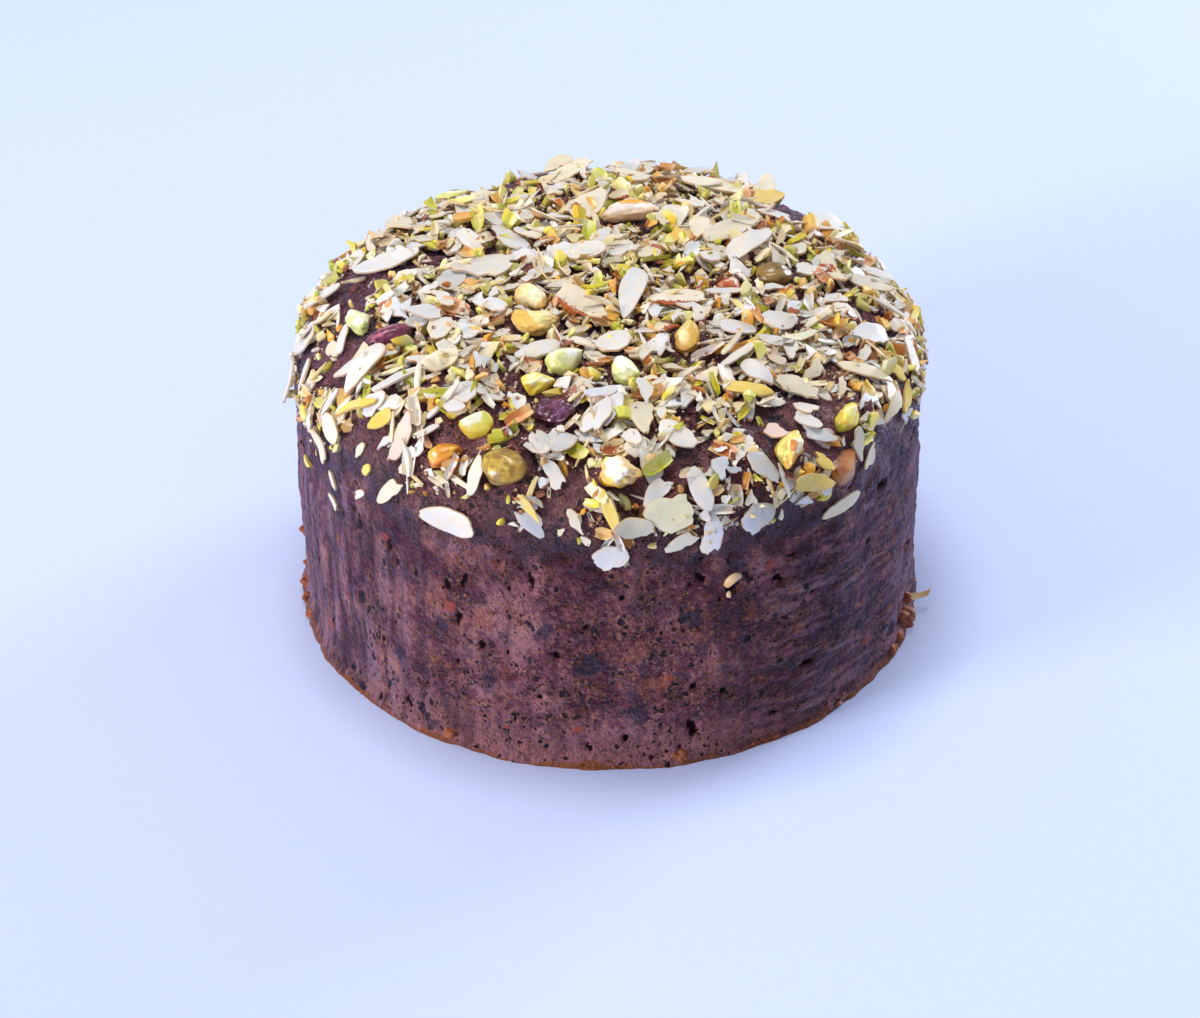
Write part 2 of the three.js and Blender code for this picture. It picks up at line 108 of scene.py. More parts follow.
# The almond flakes that catch the eye: bearing, reach, heading, length, width, tip, bank, look
LAID_FLAKES = [
    (-105, 56, 21, 18, 8, 0, 6, "white"),
    (-102, 31, 24, 15, 9, 0, 4, "white"),
    (-127, 30, -16, 13, 7, 4, 8, "white"),
    (-118, 38, -37, 12, 5, 6, -8, "white"),
    (-122, 60, -48, 13, 7, -10, 8, "cream"),
    (-116, 63, -24, 12, 5, 0, 22, "skin_edge"),
    (-136, 54, -2, 10, 4, 0, 6, "cream"),
    (-151, 13, 75, 12, 10.5, 0, 8, "white"),
    (-131, 15, -49, 9, 5, 5, 0, "white"),
    (-172, 36, -48, 13, 8, 0, 8, "skin_spot"),
    (175, 68, -86, 13, 8, 0, 12, "white"),
    (173, 51, 67, 10, 5, 0, 5, "cream"),
    (-171, 60, -49, 17, 5, 6, 5, "cream"),
    (151, 55, -77, 18, 6, 0, 6, "cream"),
    (150, 61, 63, 10, 6, 4, 8, "grey"),
    (127, 38, 7, 20, 6, 0, 7, "cream"),
    (113, 37, 24, 16, 6, 5, -6, "white"),
    (-26, 14, 64, 17, 8, 0, 9, "skin_edge"),
    (34, 10, -47, 18, 6, -8, 5, "white"),
    (60, 19, 29, 14, 8, 0, 9, "skin_edge"),
    (-63, 64, 20, 15, 8, 0, 6, "white"),
    (-43, 71, 6, 12, 4.5, 0, 5, "pink"),
    (-29, 84, -88, 15, 6.5, 0, 0, "white"),
    (-25, 73, 1, 10, 3.5, 8, 0, "cream"),
    (-11, 69, 44, 8, 4, 0, 8, "white"),
    (0, 87, -70, 8.5, 7, 0, 3, "white"),
    (10, 78, 87, 11.5, 9, 0, 5, "green"),
    (16, 74, 15, 11, 4.5, 0, 8, "white"),
    (26, 82, -72, 9, 6.5, 0, 6, "grey"),
    (12, 85, -67, 8.5, 4, 0, 5, "cream"),
    (62, 76, -77, 10, 4, 0, 12, "cream"),
    (37, 79, 68, 10, 4.5, 0, 10, "yellow"),
    (44, 89, -81, 12, 3.5, 0, 6, "cream"),
    (8, 54, 0, 11, 6, 6, 5, "cream"),
    (-10, 62, -31, 8, 5, 0, 8, "white"),
    (4, 80, 84, 10, 5, 0, 5, "cream"),
    (-73, 45, -38, 9, 7, 0, 8, "white"),
    (-86, 75, 46, 10, 6, 0, 5, "white"),
    (-77, 77, 55, 9, 5, 0, 8, "white"),
    (-54, 61, -19, 13, 4.5, 0, 6, "white"),
    (-37, 55, 51, 8, 6, 5, 5, "white"),
    (98, 49, -30, 8, 6, 0, 6, "white"),
    (102, 67, -54, 9, 6, 0, 8, "white"),
    (121, 64, 5, 13, 9, 5, 8, "white"),
    (55, 37, 31, 9, 7, 0, 6, "white"),
    (42, 44, -83, 13, 4, 0, 8, "white"),
    (76, 64, 30, 10, 6, 0, 5, "grey"),
    (64, 67, 26, 14, 3.5, 0, 6, "cream"),
    (36, 54, 49, 12, 3.5, 0, 5, "yellow"),
    (2, 28, -71, 9, 7, 0, 6, "white"),
    (-29, 34, -35, 12, 4, 0, 8, "white"),
]

# More flakes and slices that show between them, in the same order
MORE_FLAKES = [
    (142, 64, 20, 9, 5.5, 44, 0, "cream"),
    (140, 62, -60, 9, 4, 12, 20, "yellow"),
    (146, 60, 50, 7, 4, 20, 0, "cream"),
    (160, 68, -70, 9, 5, 0, 20, "white"),
    (-169, 66, -60, 9, 5, 8, 18, "cream"),
    (-162, 65, 40, 7, 3, 28, 0, "white"),
    (-14, 62, 33, 8.5, 4, 0, 6, "white"),
    (-79, 40, -45, 8, 4.4, 6, 0, "white"),
    (-78, 65, 66, 10.6, 3.2, 0, 10, "white"),
    (-51, 51, -28, 10, 4, 5, 0, "cream"),
    (-59, 78, 49, 7.5, 5.6, 0, 0, "cream"),
    (-56, 71, -45, 12, 2.5, 0, 12, "yellow"),
    (97, 54, -78, 13, 3.6, 8, 0, "cream"),
    (112, 63, -27, 9, 5, 0, 8, "white"),
    (95, 63, -20, 11.5, 3, 6, 10, "white"),
    (79, 29, 31, 12, 4, 0, 8, "white"),
    (66, 44, 51, 9.6, 5.4, 0, 6, "white"),
    (42, 51, 12, 9.7, 4.3, 6, 0, "white"),
    (63, 50, 63, 11.5, 2.8, 0, 0, "green"),
    (43, 71, 43, 9, 3.3, 0, 8, "white"),
    (71, 72, 29, 9, 3, 0, 10, "yellow"),
    (70, 79, -60, 8.7, 3, 0, 0, "yellow"),
    (-6, 79, 41, 7, 2.8, 0, 0, "cream"),
    (-14, 77, 50, 8, 2.4, 0, 0, "yellow"),
    (0, 77, 22, 12, 3, 0, 8, "yellow"),
    (-72, 97.5, 80, 5, 1.8, 0, 0, "yellow"),
    (-59, 92, 61, 5.7, 1.6, 0, 0, "cream"),
    (-59, 98, 67, 5, 2, 0, 0, "cream"),
    (-50, 89, -54, 4.2, 2, 0, 0, "white"),
    (-64, 86, 40, 9, 4.6, 0, 4, "cream"),
    (-83, 84, 12, 12, 4, 0, 0, "white"),
    (-92, 80, -20, 9, 5, 0, 5, "cream"),
    (-96, 70, 30, 11, 5, 4, 0, "white"),
    (88, 82, 20, 9, 4.4, 0, 0, "white"),
    (97, 78, -40, 11, 5, 0, 6, "white"),
    (112, 74, 30, 12, 4.5, 6, 0, "cream"),
    (128, 52, -55, 9, 5, 0, 8, "white"),
    (43, 67, 17, 7, 4.5, 6, 0, "white"),
    (50, 71, -71, 8, 3.6, 10, 0, "yellow"),
    (50, 77, 0, 8, 4, 0, 6, "cream"),
    (39, 80, 45, 8, 4.2, 0, 6, "white"),
    (41, 76.5, 27, 6, 3, 0, 0, "yellow"),
    (53, 82, -60, 7, 3.4, 0, 6, "cream"),
    (35, 66, 13, 5.5, 4.5, 4, 0, "pink"),
    (45, 64, 25, 6, 3.4, 8, 0, "white"),
    (-50, 70, -25, 6.5, 4, 6, 0, "yellow"),
    (-46, 73, -9, 6, 3.4, 0, 8, "white"),
    (-51, 78, -39, 4.5, 2.4, 0, 0, "cream"),
    (-48, 81, -33, 3.4, 2.4, 0, 0, "yellow"),
]

FLAKE_LOOKS = {
    "white": "#dededc",
    "cream": "#e8e0c8",
    "grey": "#d4dae2",
    "green": "#e8e6c6",
    "pink": "#dec8c0",
    "yellow": "#ecd060",
    "skin_edge": "#e6dcc6",
    "skin_spot": "#e4decc",
}

# Spots that the nuts left bare: bearing, reach, radius
BARE_SPOTS = [
    (-152, 69, 13),
    (137, 69, 14),
    (19, 67, 6),
    (-9, 75, 5),
    (-107, 43, 5),
    (-50, 83, 11),
    (54, 85, 9),
]

# Spots where the small nuts lie thin: bearing, reach, radius
THIN_SPOTS = [
    (-154, 53, 5), (-110, 44, 4), (129, 59, 7), (158, 46, 4), (134, 41, 4), (-164, 76, 12),
    (156, 76, 12), (116, 78, 8), (-128, 74, 8), (180, 78, 8),
]

# Reach at which the nuts end, by bearing
NUT_EDGE = [
    (-180, 80), (-120, 84), (-90, 91), (-68, 90), (-52, 77), (-30, 81), (-12, 85),
    (3, 88), (28, 86), (46, 86), (60, 80), (78, 87), (95, 90), (130, 82), (180, 80),
]

STREWN_FLAKES = 79
STREWN_SEED = 20417
STREWN_REACH = 84
GOLDEN_TURN = 137.508
# Share of strewn flakes that are snapped, the shortest whole one, and from what width one is broad
SNAPPED_SHARE, SHORTEST_WHOLE, BROAD_SHARE = 0.8, 9.5, 0.68

# Dried fruit baked into the wall: bearing, height, length, width
WALL_RAISINS = [
    (-57, 49, 6, 5), (-41, 20, 5, 4), (-34, 3.5, 5, 4), (-31, 35, 4.5, 4), (-12, 39, 5, 9),
    (-22, 22, 6, 3.5), (22, 55, 7, 4.5), (38, 60, 6, 6), (-4, 30, 9, 7), (14, 43, 6, 5),
    (34, 20, 4, 3), (5, 15, 7, 6), (62, 33, 5, 4), (48, 48, 5, 4), (-70, 27, 6, 3),
    (95, 30, 6, 4), (120, 44, 5, 5), (140, 22, 7, 5), (162, 38, 6, 4), (-175, 17, 5, 5),
    (-150, 45, 7, 4), (-132, 28, 5, 4), (-110, 12, 6, 4), (-98, 40, 5, 4), (80, 12, 5, 4),
]
# Candied peel and cherry in the wall: bearing, height, size
WALL_PEEL = [
    (-44, 52, 4.5), (-29, 41, 4), (29, 52, 5), (-6, 11, 3), (55, 12, 4), (100, 50, 4),
    (150, 30, 4), (-140, 15, 4), (-95, 55, 4), (-19, 9, 2.5), (10, 26, 3.5), (-63, 12, 3.5),
]
# Crumb that sticks out at the foot of the wall: bearing, height, size
FOOT_LUMPS = [
    (72, 4, 8), (-89, 16, 5), (-30, 2.5, 4), (12, 2.5, 5),
    (64, 1.5, 4), (67.5, 2.5, 5), (75.5, 6.5, 4), (-86, 2.5, 5), (-87.5, 7, 4), (-82, 1.5, 3.5),
    (-77, 1, 3),
]
# Bits of nut that fell against the wall: bearing, reach, heading, length, width, thickness
WALL_NUTS = [(21.5, 98.5, -60, 4.8, 3, 2.2), (20.8, 102.5, 10, 1.9, 1.5, 1.2)]
# The splinter that sticks out at the foot: bearing, height, length, width
FOOT_SPLINTER = (78, 4.5, 7, 3)
SMALL_FOOT_CRUMBS = 130
CRUMB_SQUASH = 0.8

# Pits that tore open in the wall and under the rim
PITS = 230
PIT_SEED = 5
HIGHEST_PIT = 68
DEEPEST_PIT = 1.2


def linear(code):
    """An sRGB hex colour as linear red, green, blue and alpha."""
    parts = [int(code[i:i + 2], 16) / 255 for i in (1, 3, 5)]
    return (*[c / 12.92 if c <= 0.04045 else ((c + 0.055) / 1.055) ** 2.4 for c in parts], 1.0)


def per(size):
    """How often a pattern of this many millimetres repeats in a metre."""
    return 1000 / size


def smooth(low, high, value):
    """0 below low, 1 above high, and a soft step between."""
    share = np.clip((value - low) / (high - low), 0, 1)
    return share * share * (3 - 2 * share)


def lattice(cells, seed):
    """A repeatable number between -1 and 1 for each whole-numbered cell."""
    mixed = cells[..., 0] * 73856093 ^ cells[..., 1] * 19349663 ^ cells[..., 2] * 83492791
    mixed = (mixed + seed * 668265263) & 0xFFFFFFFF
    mixed = (mixed ^ (mixed >> 15)) * 2246822519 & 0xFFFFFFFF
    mixed = (mixed ^ (mixed >> 13)) * 3266489917 & 0xFFFFFFFF
    return ((mixed ^ (mixed >> 16)) & 0xFFFFFF) / 0x7FFFFF - 1


def noise(points, size, seed):
    """A smooth random field between -1 and 1 whose hills are about this size."""
    scaled = np.asarray(points, float) / size
    cell = np.floor(scaled).astype(np.int64)
    share = scaled - cell
    share = share * share * (3 - 2 * share)
    total = 0
    for corner in np.ndindex(2, 2, 2):
        weight = np.prod(np.where(corner, share, 1 - share), axis=-1)
        total = total + weight * lattice(cell + corner, seed)
    return total


def directions(bearing):
    """Level directions at a bearing: away from the axis, and round it."""
    east, north = math.sin(math.radians(bearing)), math.cos(math.radians(bearing))
    return np.array([east, -north, 0]), np.array([north, east, 0])


def dice(seed):
    """Repeatable draws between 0 and 1."""
    state = seed
    while True:
        state = (state * 1664525 + 1013904223) % 4294967296
        yield state / 4294967296


# ---- settings ------------------------------------------------------------------------------


def length_property(name, description, default):
    return FloatProperty(
        name=name, description=description, default=default, min=0, unit="LENGTH", subtype="DISTANCE"
    )


def colour_property(name, description, code):
    return FloatVectorProperty(
        name=name, description=description, default=linear(code), size=4, min=0, max=1, subtype="COLOR"
    )


def count_property(name, description, default):
    return IntProperty(name=name, description=description, default=default, min=0)


class CakeSizes(bpy.types.PropertyGroup):
    tin_radius: length_property("Tin radius", "Radius of the upright wall", 0.076)
    height: length_property("Height", "Height of the middle of the bare top", 0.086)
    shoulder_foot: length_property("Shoulder foot", "Height where the wall starts to round over", 0.058)
    wall_bulge: length_property("Wall bulge", "How far the wall swells at mid height", 0.0005)
    foot_flare: length_property("Foot flare", "Crumb squeezed out at the very bottom", 0.0018)
    flake_thickness: length_property("Flake thickness", "Thickness of an almond flake", 0.0006)
    top_crags: length_property("Top crags", "Roughness of the baked top", 0.0014)
    fold_depth: length_property("Fold depth", "Depth of the folds that the paper lining left", 0.0009)


class CakeToppings(bpy.types.PropertyGroup):
    flakes: count_property("Flakes", "Almond flakes strewn between the ones laid by hand", 20)
    almond_chips: count_property("Almond chips", "Broken bits of almond flake", 940)
    almond_slivers: count_property("Almond slivers", "Thin sticks of almond", 380)
    almond_curls: count_property("Almond curls", "Curled shavings of almond", 300)
    almond_bits: count_property("Almond bits", "Chopped almond", 220)
    pistachio_bits: count_property("Pistachio bits", "Chopped pistachio", 460)
    pistachio_curls: count_property("Pistachio curls", "Curled shavings of pistachio", 190)
    toasted_bits: count_property("Toasted bits", "Chopped toasted nuts", 330)
    toasted_curls: count_property("Toasted curls", "Curved splinters of toasted nuts", 210)
    nut_skins: count_property("Nut skins", "Curled nut and fruit skins", 160)
    crumbs: count_property("Crumbs", "Fine nut crumbs", 1500)
    seed: IntProperty(name="Seed", description="Starts every random draw", default=77)


class CakeColours(bpy.types.PropertyGroup):
    # dark crumb of the grain and clouds; also the painted shade in the fold grooves and round the
    # shoulder
    crumb_dark: colour_property("Crumb, dark", "Moist crumb round the fruit", "#340e12")
    crumb: colour_property("Crumb", "The wall's crumb", "#783c42")
    # pale crumb of the grain; towards the foot it is also the painted light bounced from the floor
    crumb_light: colour_property("Crumb, light", "Drier crumb that the paper rubbed", "#b27876")
    crumb_warm: colour_property("Crumb, warm", "Batter that took the colour of the fruit", "#a5582e")
    crumb_blue: colour_property("Crumb, blue", "Batter over raisins that lie just inside", "#3c3040")
    crumb_top: colour_property("Crumb, top", "The dark baked top", "#7e413e")
    # painted shade inside the pits and pores
    pit: colour_property("Pit", "Inside of a torn pit", "#22080a")
    foot_crust: colour_property("Foot crust", "The thin crust at the very bottom", "#93552a")
    fruit: colour_property("Baked fruit", "Raisins in the wall", "#2a2430")
    peel: colour_property("Baked peel", "Candied peel in the wall", "#b24e30")
    # pale specks of the crumb; also the painted highlight on the pore rims
    speck: colour_property("Speck", "Pale specks of nut and sugar", "#c0885a")
    # a painted highlight: lavender sheen on the ridges of the paper's folds
    painted_ridge_sheen: colour_property("Rubbed", "Ridges that the paper rubbed", "#9a8092")
    floor: colour_property("Floor", "The pale floor", "#cfdaf8")


# ---- the turned form of the bare cake --------------------------------------------------------


class BareCake:
    """The section of the bare cake, its relief, and the places on it."""

    def __init__(self, sizes):
        self.sizes = sizes
        self.tin = sizes.tin_radius / MM
        self.top = sizes.height / MM
        self.foot_of_shoulder = sizes.shoulder_foot / MM
        turn = np.linspace(math.pi / 2, 0, SHOULDER_SAMPLES + 1)
        radius = self.tin * np.cos(turn) ** (2 / SHOULDER_ROUND_POWER)
        rise = np.sin(turn) ** (2 / SHOULDER_RISE_POWER)
        height = self.foot_of_shoulder + (self.top - self.foot_of_shoulder) * rise
        walked = np.cumsum(np.hypot(np.diff(radius), np.diff(height)))
        self.shoulder_length = walked[-1]
        wall_height = np.linspace(self.foot_of_shoulder, 0, 60)[1:]
        self.reaches = np.concatenate([[0], walked, walked[-1] + self.foot_of_shoulder - wall_height])
        self.radii = np.concatenate([radius, self.wall_radius(wall_height)])
        self.heights = np.concatenate([height, wall_height])
        self.foot_reach = self.reaches[-1]

    def wall_radius(self, height):
        """Radius of the upright wall at a height."""
        bulge = self.sizes.wall_bulge / MM * np.sin(math.pi * height / self.foot_of_shoulder)
        flare = self.sizes.foot_flare / MM * np.clip(1 - height / FOOT_FLARE_HEIGHT, 0, 1) ** 2
        return self.tin + bulge + flare

    def section(self, reach):
        """Radius, height and downward slope of the bare cake at a reach."""
        near = 1.5
        radius = np.interp(reach, self.reaches, self.radii)
        height = np.interp(reach, self.reaches, self.heights)
        before, beyond = np.maximum(reach - near, 0), reach + near
        run, rise = (
            np.interp(beyond, self.reaches, way) - np.interp(before, self.reaches, way)
            for way in (self.radii, self.heights)
        )
        return radius, height, np.arctan2(rise, run)

    def seat(self, bearing, reach):
        """Point on the bare cake, and the directions outward, round and off it as columns."""
        radius, height, slope = self.section(reach)
        away, about = directions(bearing)
        up = np.array([0, 0, 1])
        outward = away * math.cos(slope) + up * math.sin(slope)
        off = up * math.cos(slope) - away * math.sin(slope)
        return away * radius + up * height, np.column_stack([outward, about, off])

    def foot(self, points):
        """Bearing, reach and distance off the bare cake of points near it."""
        ring = np.hypot(points[:, 0], points[:, 1])
        reach = np.interp(ring - points[:, 2], self.radii - self.heights, self.reaches)
        for _ in range(3):
            radius, height, slope = self.section(reach)
            out, up = ring - radius, points[:, 2] - height
            reach = np.maximum(reach + out * np.cos(slope) + up * np.sin(slope), 0)
        bearing = np.degrees(np.arctan2(points[:, 0], -points[:, 1]))
        return bearing, reach, up * np.cos(slope) - out * np.sin(slope)

    def surface(self, bearing, reach):
        """Points of the bare cake and the directions off it, for arrays of places."""
        radius, height, slope = self.section(reach)
        angle = np.radians(bearing)
        east, south = np.sin(angle), -np.cos(angle)
        points = np.stack([radius * east, radius * south, height], axis=-1)
        off = np.stack([-np.sin(slope) * east, -np.sin(slope) * south, np.cos(slope)], axis=-1)
        return points, off

    def broad_relief(self, bearing, reach):
        """Hills of the baked top and creases of the wall."""
        radius = np.interp(reach, self.reaches, self.radii)
        angle = np.radians(bearing)
        x, y = radius * np.sin(angle), -radius * np.cos(angle)
        on_top = np.clip((self.shoulder_length - reach) / 20, 0, 1)
        hills = np.sin(x / 8.3 + 1.1) * np.cos(y / 7.1 - 0.4) + 0.6 * np.sin((x - y) / 4.7)
        first, second = CREASE_WAVES
        creases = np.sin(first * angle + reach / 31) + 0.6 * np.sin(second * angle - reach / 17)
        return on_top * TOP_SWELL * hills + (1 - on_top) * WALL_CREASE * creases

    def folds(self, bearing, points):
        """The paper's folds: upright to the left and level to the right, sharp in their grooves."""
        upright = noise(points / (4.3, 4.3, 34), 1, 6) + 0.4 * noise(points / (1.9, 1.9, 15), 1, 7)
        slant = points[..., 2] + 0.12 * self.tin * np.radians(bearing)
        along = np.stack([points[..., 0] / 17, points[..., 1] / 17, slant / 2.3], axis=-1)
        level = noise(along, 1, 8) + 0.6 * noise(along * (1.4, 1.4, 2.1), 1, 9)
        levelled = self.level_folds(bearing)
        field = (1 - levelled) * upright + levelled * level
        to_the_left = self.upright_folds(bearing)
        patches = 0.75 + 0.25 * noise(points, 16, 13)
        strength = (0.5 + 0.5 * np.maximum(levelled, to_the_left)) * patches
        return strength * (0.9 - 1.8 * np.abs(field) ** 0.7)

    def relief(self, bearing, reach):
        """All relief that the mesh carries: hills, crags, paper folds and crumb."""
        points, _ = self.surface(bearing, reach)
        on_top = smooth(4, 18, self.shoulder_length + 14 - reach)
        crags = 0.4 * noise(points, 5.5, 3) + 0.4 * noise(points, 2.8, 4) + 0.2 * noise(points, 1.5, 5)
        crags += 0.25 - 0.6 * np.abs(noise(points, 3.4, 15))
        crumb = 0.16 * noise(points, 1.5, 10) + 0.2 * noise(points, 2.6, 14)
        crumb += 0.3 * noise(points, 9, 11)
        top_part = self.sizes.top_crags / MM * crags
        deeper = 0.5 + 0.25 * self.level_folds(bearing)
        wall_part = crumb - self.sizes.fold_depth / MM * deeper * self.folds(bearing, points)
        wall_part *= 0.35 + 0.65 * smooth(0, 6, points[..., 2])
        ragged = smooth(3, 0, points[..., 2]) * 0.3 * noise(points, 2.2, 12)
        return self.broad_relief(bearing, reach) + on_top * top_part + (1 - on_top) * wall_part + ragged

    def level_folds(self, bearing):
        """Share of the folds that run level round the wall, where the paper slid, to the right."""
        return smooth(16, 40, bearing) * smooth(150, 120, bearing)

    def upright_folds(self, bearing):
        """Share of the folds that stand upright and deep, to the left."""
        return smooth(-26, -56, bearing) * smooth(-178, -150, bearing)

    def pulled(self, bearing, points):
        """Where the crumb lay before the paper pulled it: upright to the left, level to the right."""
        ring = np.linspace(-180, 180, 361)
        turned_so_far = np.cumsum(1 - 0.5 * self.level_folds(ring))
        turned_so_far -= turned_so_far[0]
        turn = np.interp(bearing, ring, 2 * math.pi * turned_so_far / turned_so_far[-1])
        stretch = 1 + 0.3 * self.level_folds(bearing) - 0.5 * self.upright_folds(bearing)
        middle = self.foot_of_shoulder / 2
        up = middle + (points[..., 2] - middle) * stretch
        ring_radius = np.hypot(points[..., 0], points[..., 1])
        return np.stack([ring_radius * np.sin(turn), -ring_radius * np.cos(turn), up], axis=-1)


def is_bare(bearing, reach):
    """Whether a place lies in one of the spots that the nuts left bare."""
    return any(apart(bearing, reach, spot) < spot[2] for spot in BARE_SPOTS)


def apart(bearing, reach, spot):
    """Distance on the unrolled top between a place and the middle of a bare spot."""
    turn = math.radians(bearing - spot[0])
    return math.sqrt(max(0, reach ** 2 + spot[1] ** 2 - 2 * reach * spot[1] * math.cos(turn)))


def nut_cover(bearing, reach):
    """Share of the nuts' full density at a place."""
    edge = np.interp(bearing, *zip(*NUT_EDGE))
    place = reach * directions(bearing)[0]
    clump = noise(place, 9, 151) + 0.5 * noise(place, 4, 152)
    cover = smooth(edge + 3, edge - 10, reach) * smooth(-0.65, 0.35, clump + 1.0 * smooth(70, 25, reach))
    for spot in BARE_SPOTS + THIN_SPOTS:
        cover *= smooth(0.4 * spot[2], 1.2 * spot[2], apart(bearing, reach, spot))
    return float(cover)


# ---- shapes modelled once -------------------------------------------------------------------


class Shape:
    """A modelled shape, read as arrays, one unit long, wide and thick."""

    def __init__(self, piece, rim=None):
        """Reads a piece and removes it. Its rim is a value for each corner, or its far end."""
        mesh = piece.data
        mesh.calc_loop_triangles()
        corners = read_corners(mesh)
        low, high = corners.min(axis=0), corners.max(axis=0)
        self.corners = (corners - (low + high) / 2) / (high - low)
        self.triangles = np.empty(len(mesh.loop_triangles) * 3, np.int64)
        mesh.loop_triangles.foreach_get("vertices", self.triangles)
        self.triangles = self.triangles.reshape(-1, 3)
        self.rim = smooth(0.18, 0.3, self.corners[:, 0]) if rim is None else rim
        bpy.data.objects.remove(piece)
        bpy.data.meshes.remove(mesh)


def start_piece(add, **settings):
    """Adds a primitive with nothing else selected, and opens it in edit mode."""
    bpy.ops.object.select_all(action="DESELECT")
    add(**settings)
    bpy.ops.object.mode_set(mode="EDIT")
    return bpy.context.object


def close_piece(piece):
    """Merges what lies together, turns the faces outwards and leaves edit mode."""
    bpy.ops.mesh.select_all(action="SELECT")
    bpy.ops.mesh.remove_doubles(threshold=1e-5)
    bpy.ops.mesh.normals_make_consistent(inside=False)
    bpy.ops.object.mode_set(mode="OBJECT")
    return piece


def read_corners(mesh):
    corners = np.empty(len(mesh.vertices) * 3)
    mesh.vertices.foreach_get("co", corners)
    return corners.reshape(-1, 3)


def move_corners(piece, move):
    """Moves each corner of a piece in object mode by a function of its array."""
    piece.data.vertices.foreach_set("co", move(read_corners(piece.data)).ravel())
    piece.data.update()


def disc(points, *insets):
    """A flat disc with rings inside its rim, given a thickness, and which corners are its rim."""
    piece = start_piece(bpy.ops.mesh.primitive_circle_add, vertices=points, radius=1, fill_type="NGON")
    for inset in insets:
        bpy.ops.mesh.inset(thickness=inset)
    bpy.ops.mesh.poke()
    bpy.ops.mesh.select_all(action="SELECT")
    bpy.ops.mesh.extrude_region_move(TRANSFORM_OT_translate={"value": (0, 0, -0.1)})
    close_piece(piece)
    rim = np.hypot(*read_corners(piece.data)[:, :2].T) > 0.97
    return piece, rim.astype(float)


def almond_slice(points, blunt, jag, breaks=(), bend=0.0):
    """A slice of almond, pointed at one end and round at the other, broken off along lines.

    Each break is the direction in degrees of the part that is gone and its distance from the middle.
    """
    piece, rim = disc(points, 0.07, 0.4)

    def cut(corners):
        x, y, z = corners.T
        ring = np.hypot(x, y)
        angle = np.arctan2(y, x)
        round_it = np.stack([np.cos(angle), np.sin(angle), 0 * x + jag * 40], -1)
        ragged = 1 + jag * noise(2.3 * round_it, 1, 21) + 0.6 * jag * noise(5.1 * round_it, 1, 22)
        width = 1 - blunt * np.cos(angle) - 0.06 * np.cos(2 * angle)
        x = ring * np.cos(angle) * ragged
        y = ring * np.sin(angle) * width * 0.62 * ragged
        for direction, distance in breaks:
            toward = np.array([math.cos(math.radians(direction)), math.sin(math.radians(direction))])
            along = toward[0] * y - toward[1] * x
            jagged_line = distance + 0.06 * np.sin(9 * along + direction) + 0.03 * np.sin(23 * along)
            gone = 0.95 * np.maximum(toward[0] * x + toward[1] * y - jagged_line, 0)
            x, y = x - gone * toward[0], y - gone * toward[1]
        z = (z + 0.05) * (1 - 0.2 * rim) + bend * (x - 0.6 * y) ** 2
        return np.stack([x, y, z], axis=-1)

    move_corners(piece, cut)
    return Shape(piece, rim)


def sliver(seed):
    """A thin stick of almond, tapered, with its long edges cut off."""
    piece = start_piece(bpy.ops.mesh.primitive_cube_add, size=1)
    for place in (-0.25, 0, 0.25):
        bpy.ops.mesh.select_all(action="SELECT")
        bpy.ops.mesh.bisect(plane_co=(place, 0, 0), plane_no=(1, 0, 0))
    bpy.ops.mesh.select_all(action="SELECT")
    bpy.ops.mesh.bevel(offset=0.13, segments=1, affect="EDGES")
    close_piece(piece)

    def taper(corners):
        x, y, z = corners.T
        narrow = 1 - 0.55 * smooth(0.1, 0.5, x) - 0.3 * smooth(-0.2, -0.5, x)
        bow = 0.18 * (x * x * 4 - 0.5) * (1 if seed % 2 else -1)
        wobble = 0.12 * noise(corners * 2.5 + seed * 9.1, 1, 41)
        return np.stack([x, y * narrow + bow + wobble, z * narrow + 0.5 * wobble], axis=-1)

    move_corners(piece, taper)
    return Shape(piece)


def chopped(cuts, seed):
    """A chopped nut: a rounded lump with flat faces where the knife went through."""
    piece = start_piece(bpy.ops.mesh.primitive_ico_sphere_add, subdivisions=2, radius=1)
    draw = dice(seed)
    for _ in range(cuts):
        turn, lift = 2 * math.pi * next(draw), 1.8 * next(draw) - 0.9
        level = math.sqrt(1 - lift * lift)
        knife = np.array([level * math.cos(turn), level * math.sin(turn), lift])
        bpy.ops.mesh.select_all(action="SELECT")
        bpy.ops.mesh.bisect(
            plane_co=tuple(knife * (0.22 + 0.4 * next(draw))), plane_no=tuple(knife),
            use_fill=True, clear_outer=True,
        )
    close_piece(piece)
    move_corners(piece, lambda corners: corners * (1 + 0.07 * noise(corners + seed, 0.5, 51))[:, None])
    return Shape(piece)


def curled_skin(seed):
    """A thin skin, curled like a shaving."""
    piece = start_piece(bpy.ops.mesh.primitive_grid_add, x_subdivisions=5, y_subdivisions=3, size=2)
    bpy.ops.mesh.extrude_region_move(TRANSFORM_OT_translate={"value": (0, 0, -0.09)})
    close_piece(piece)

    def curl(corners):
        x, y, z = corners.T
        round_off = 1 - 0.3 * x * x
        ragged = 0.22 * noise(corners * 1.7 + seed * 3.3, 1, 61)
        rise = 0.42 * y * y * (1 + 0.5 * math.sin(seed)) + 0.16 * x * x
        return np.stack([x + ragged, y * round_off + ragged, z + rise + 0.6 * ragged], axis=-1)

    move_corners(piece, curl)
    return Shape(piece)


def crumb_shape(seed):
    """A small uneven crumb."""
    piece = start_piece(bpy.ops.mesh.primitive_ico_sphere_add, subdivisions=1, radius=1)
    close_piece(piece)
    move_corners(piece, lambda at: at * (1 + 0.4 * noise(at * 1.3 + seed * 7, 1, 71))[:, None])
    return Shape(piece)


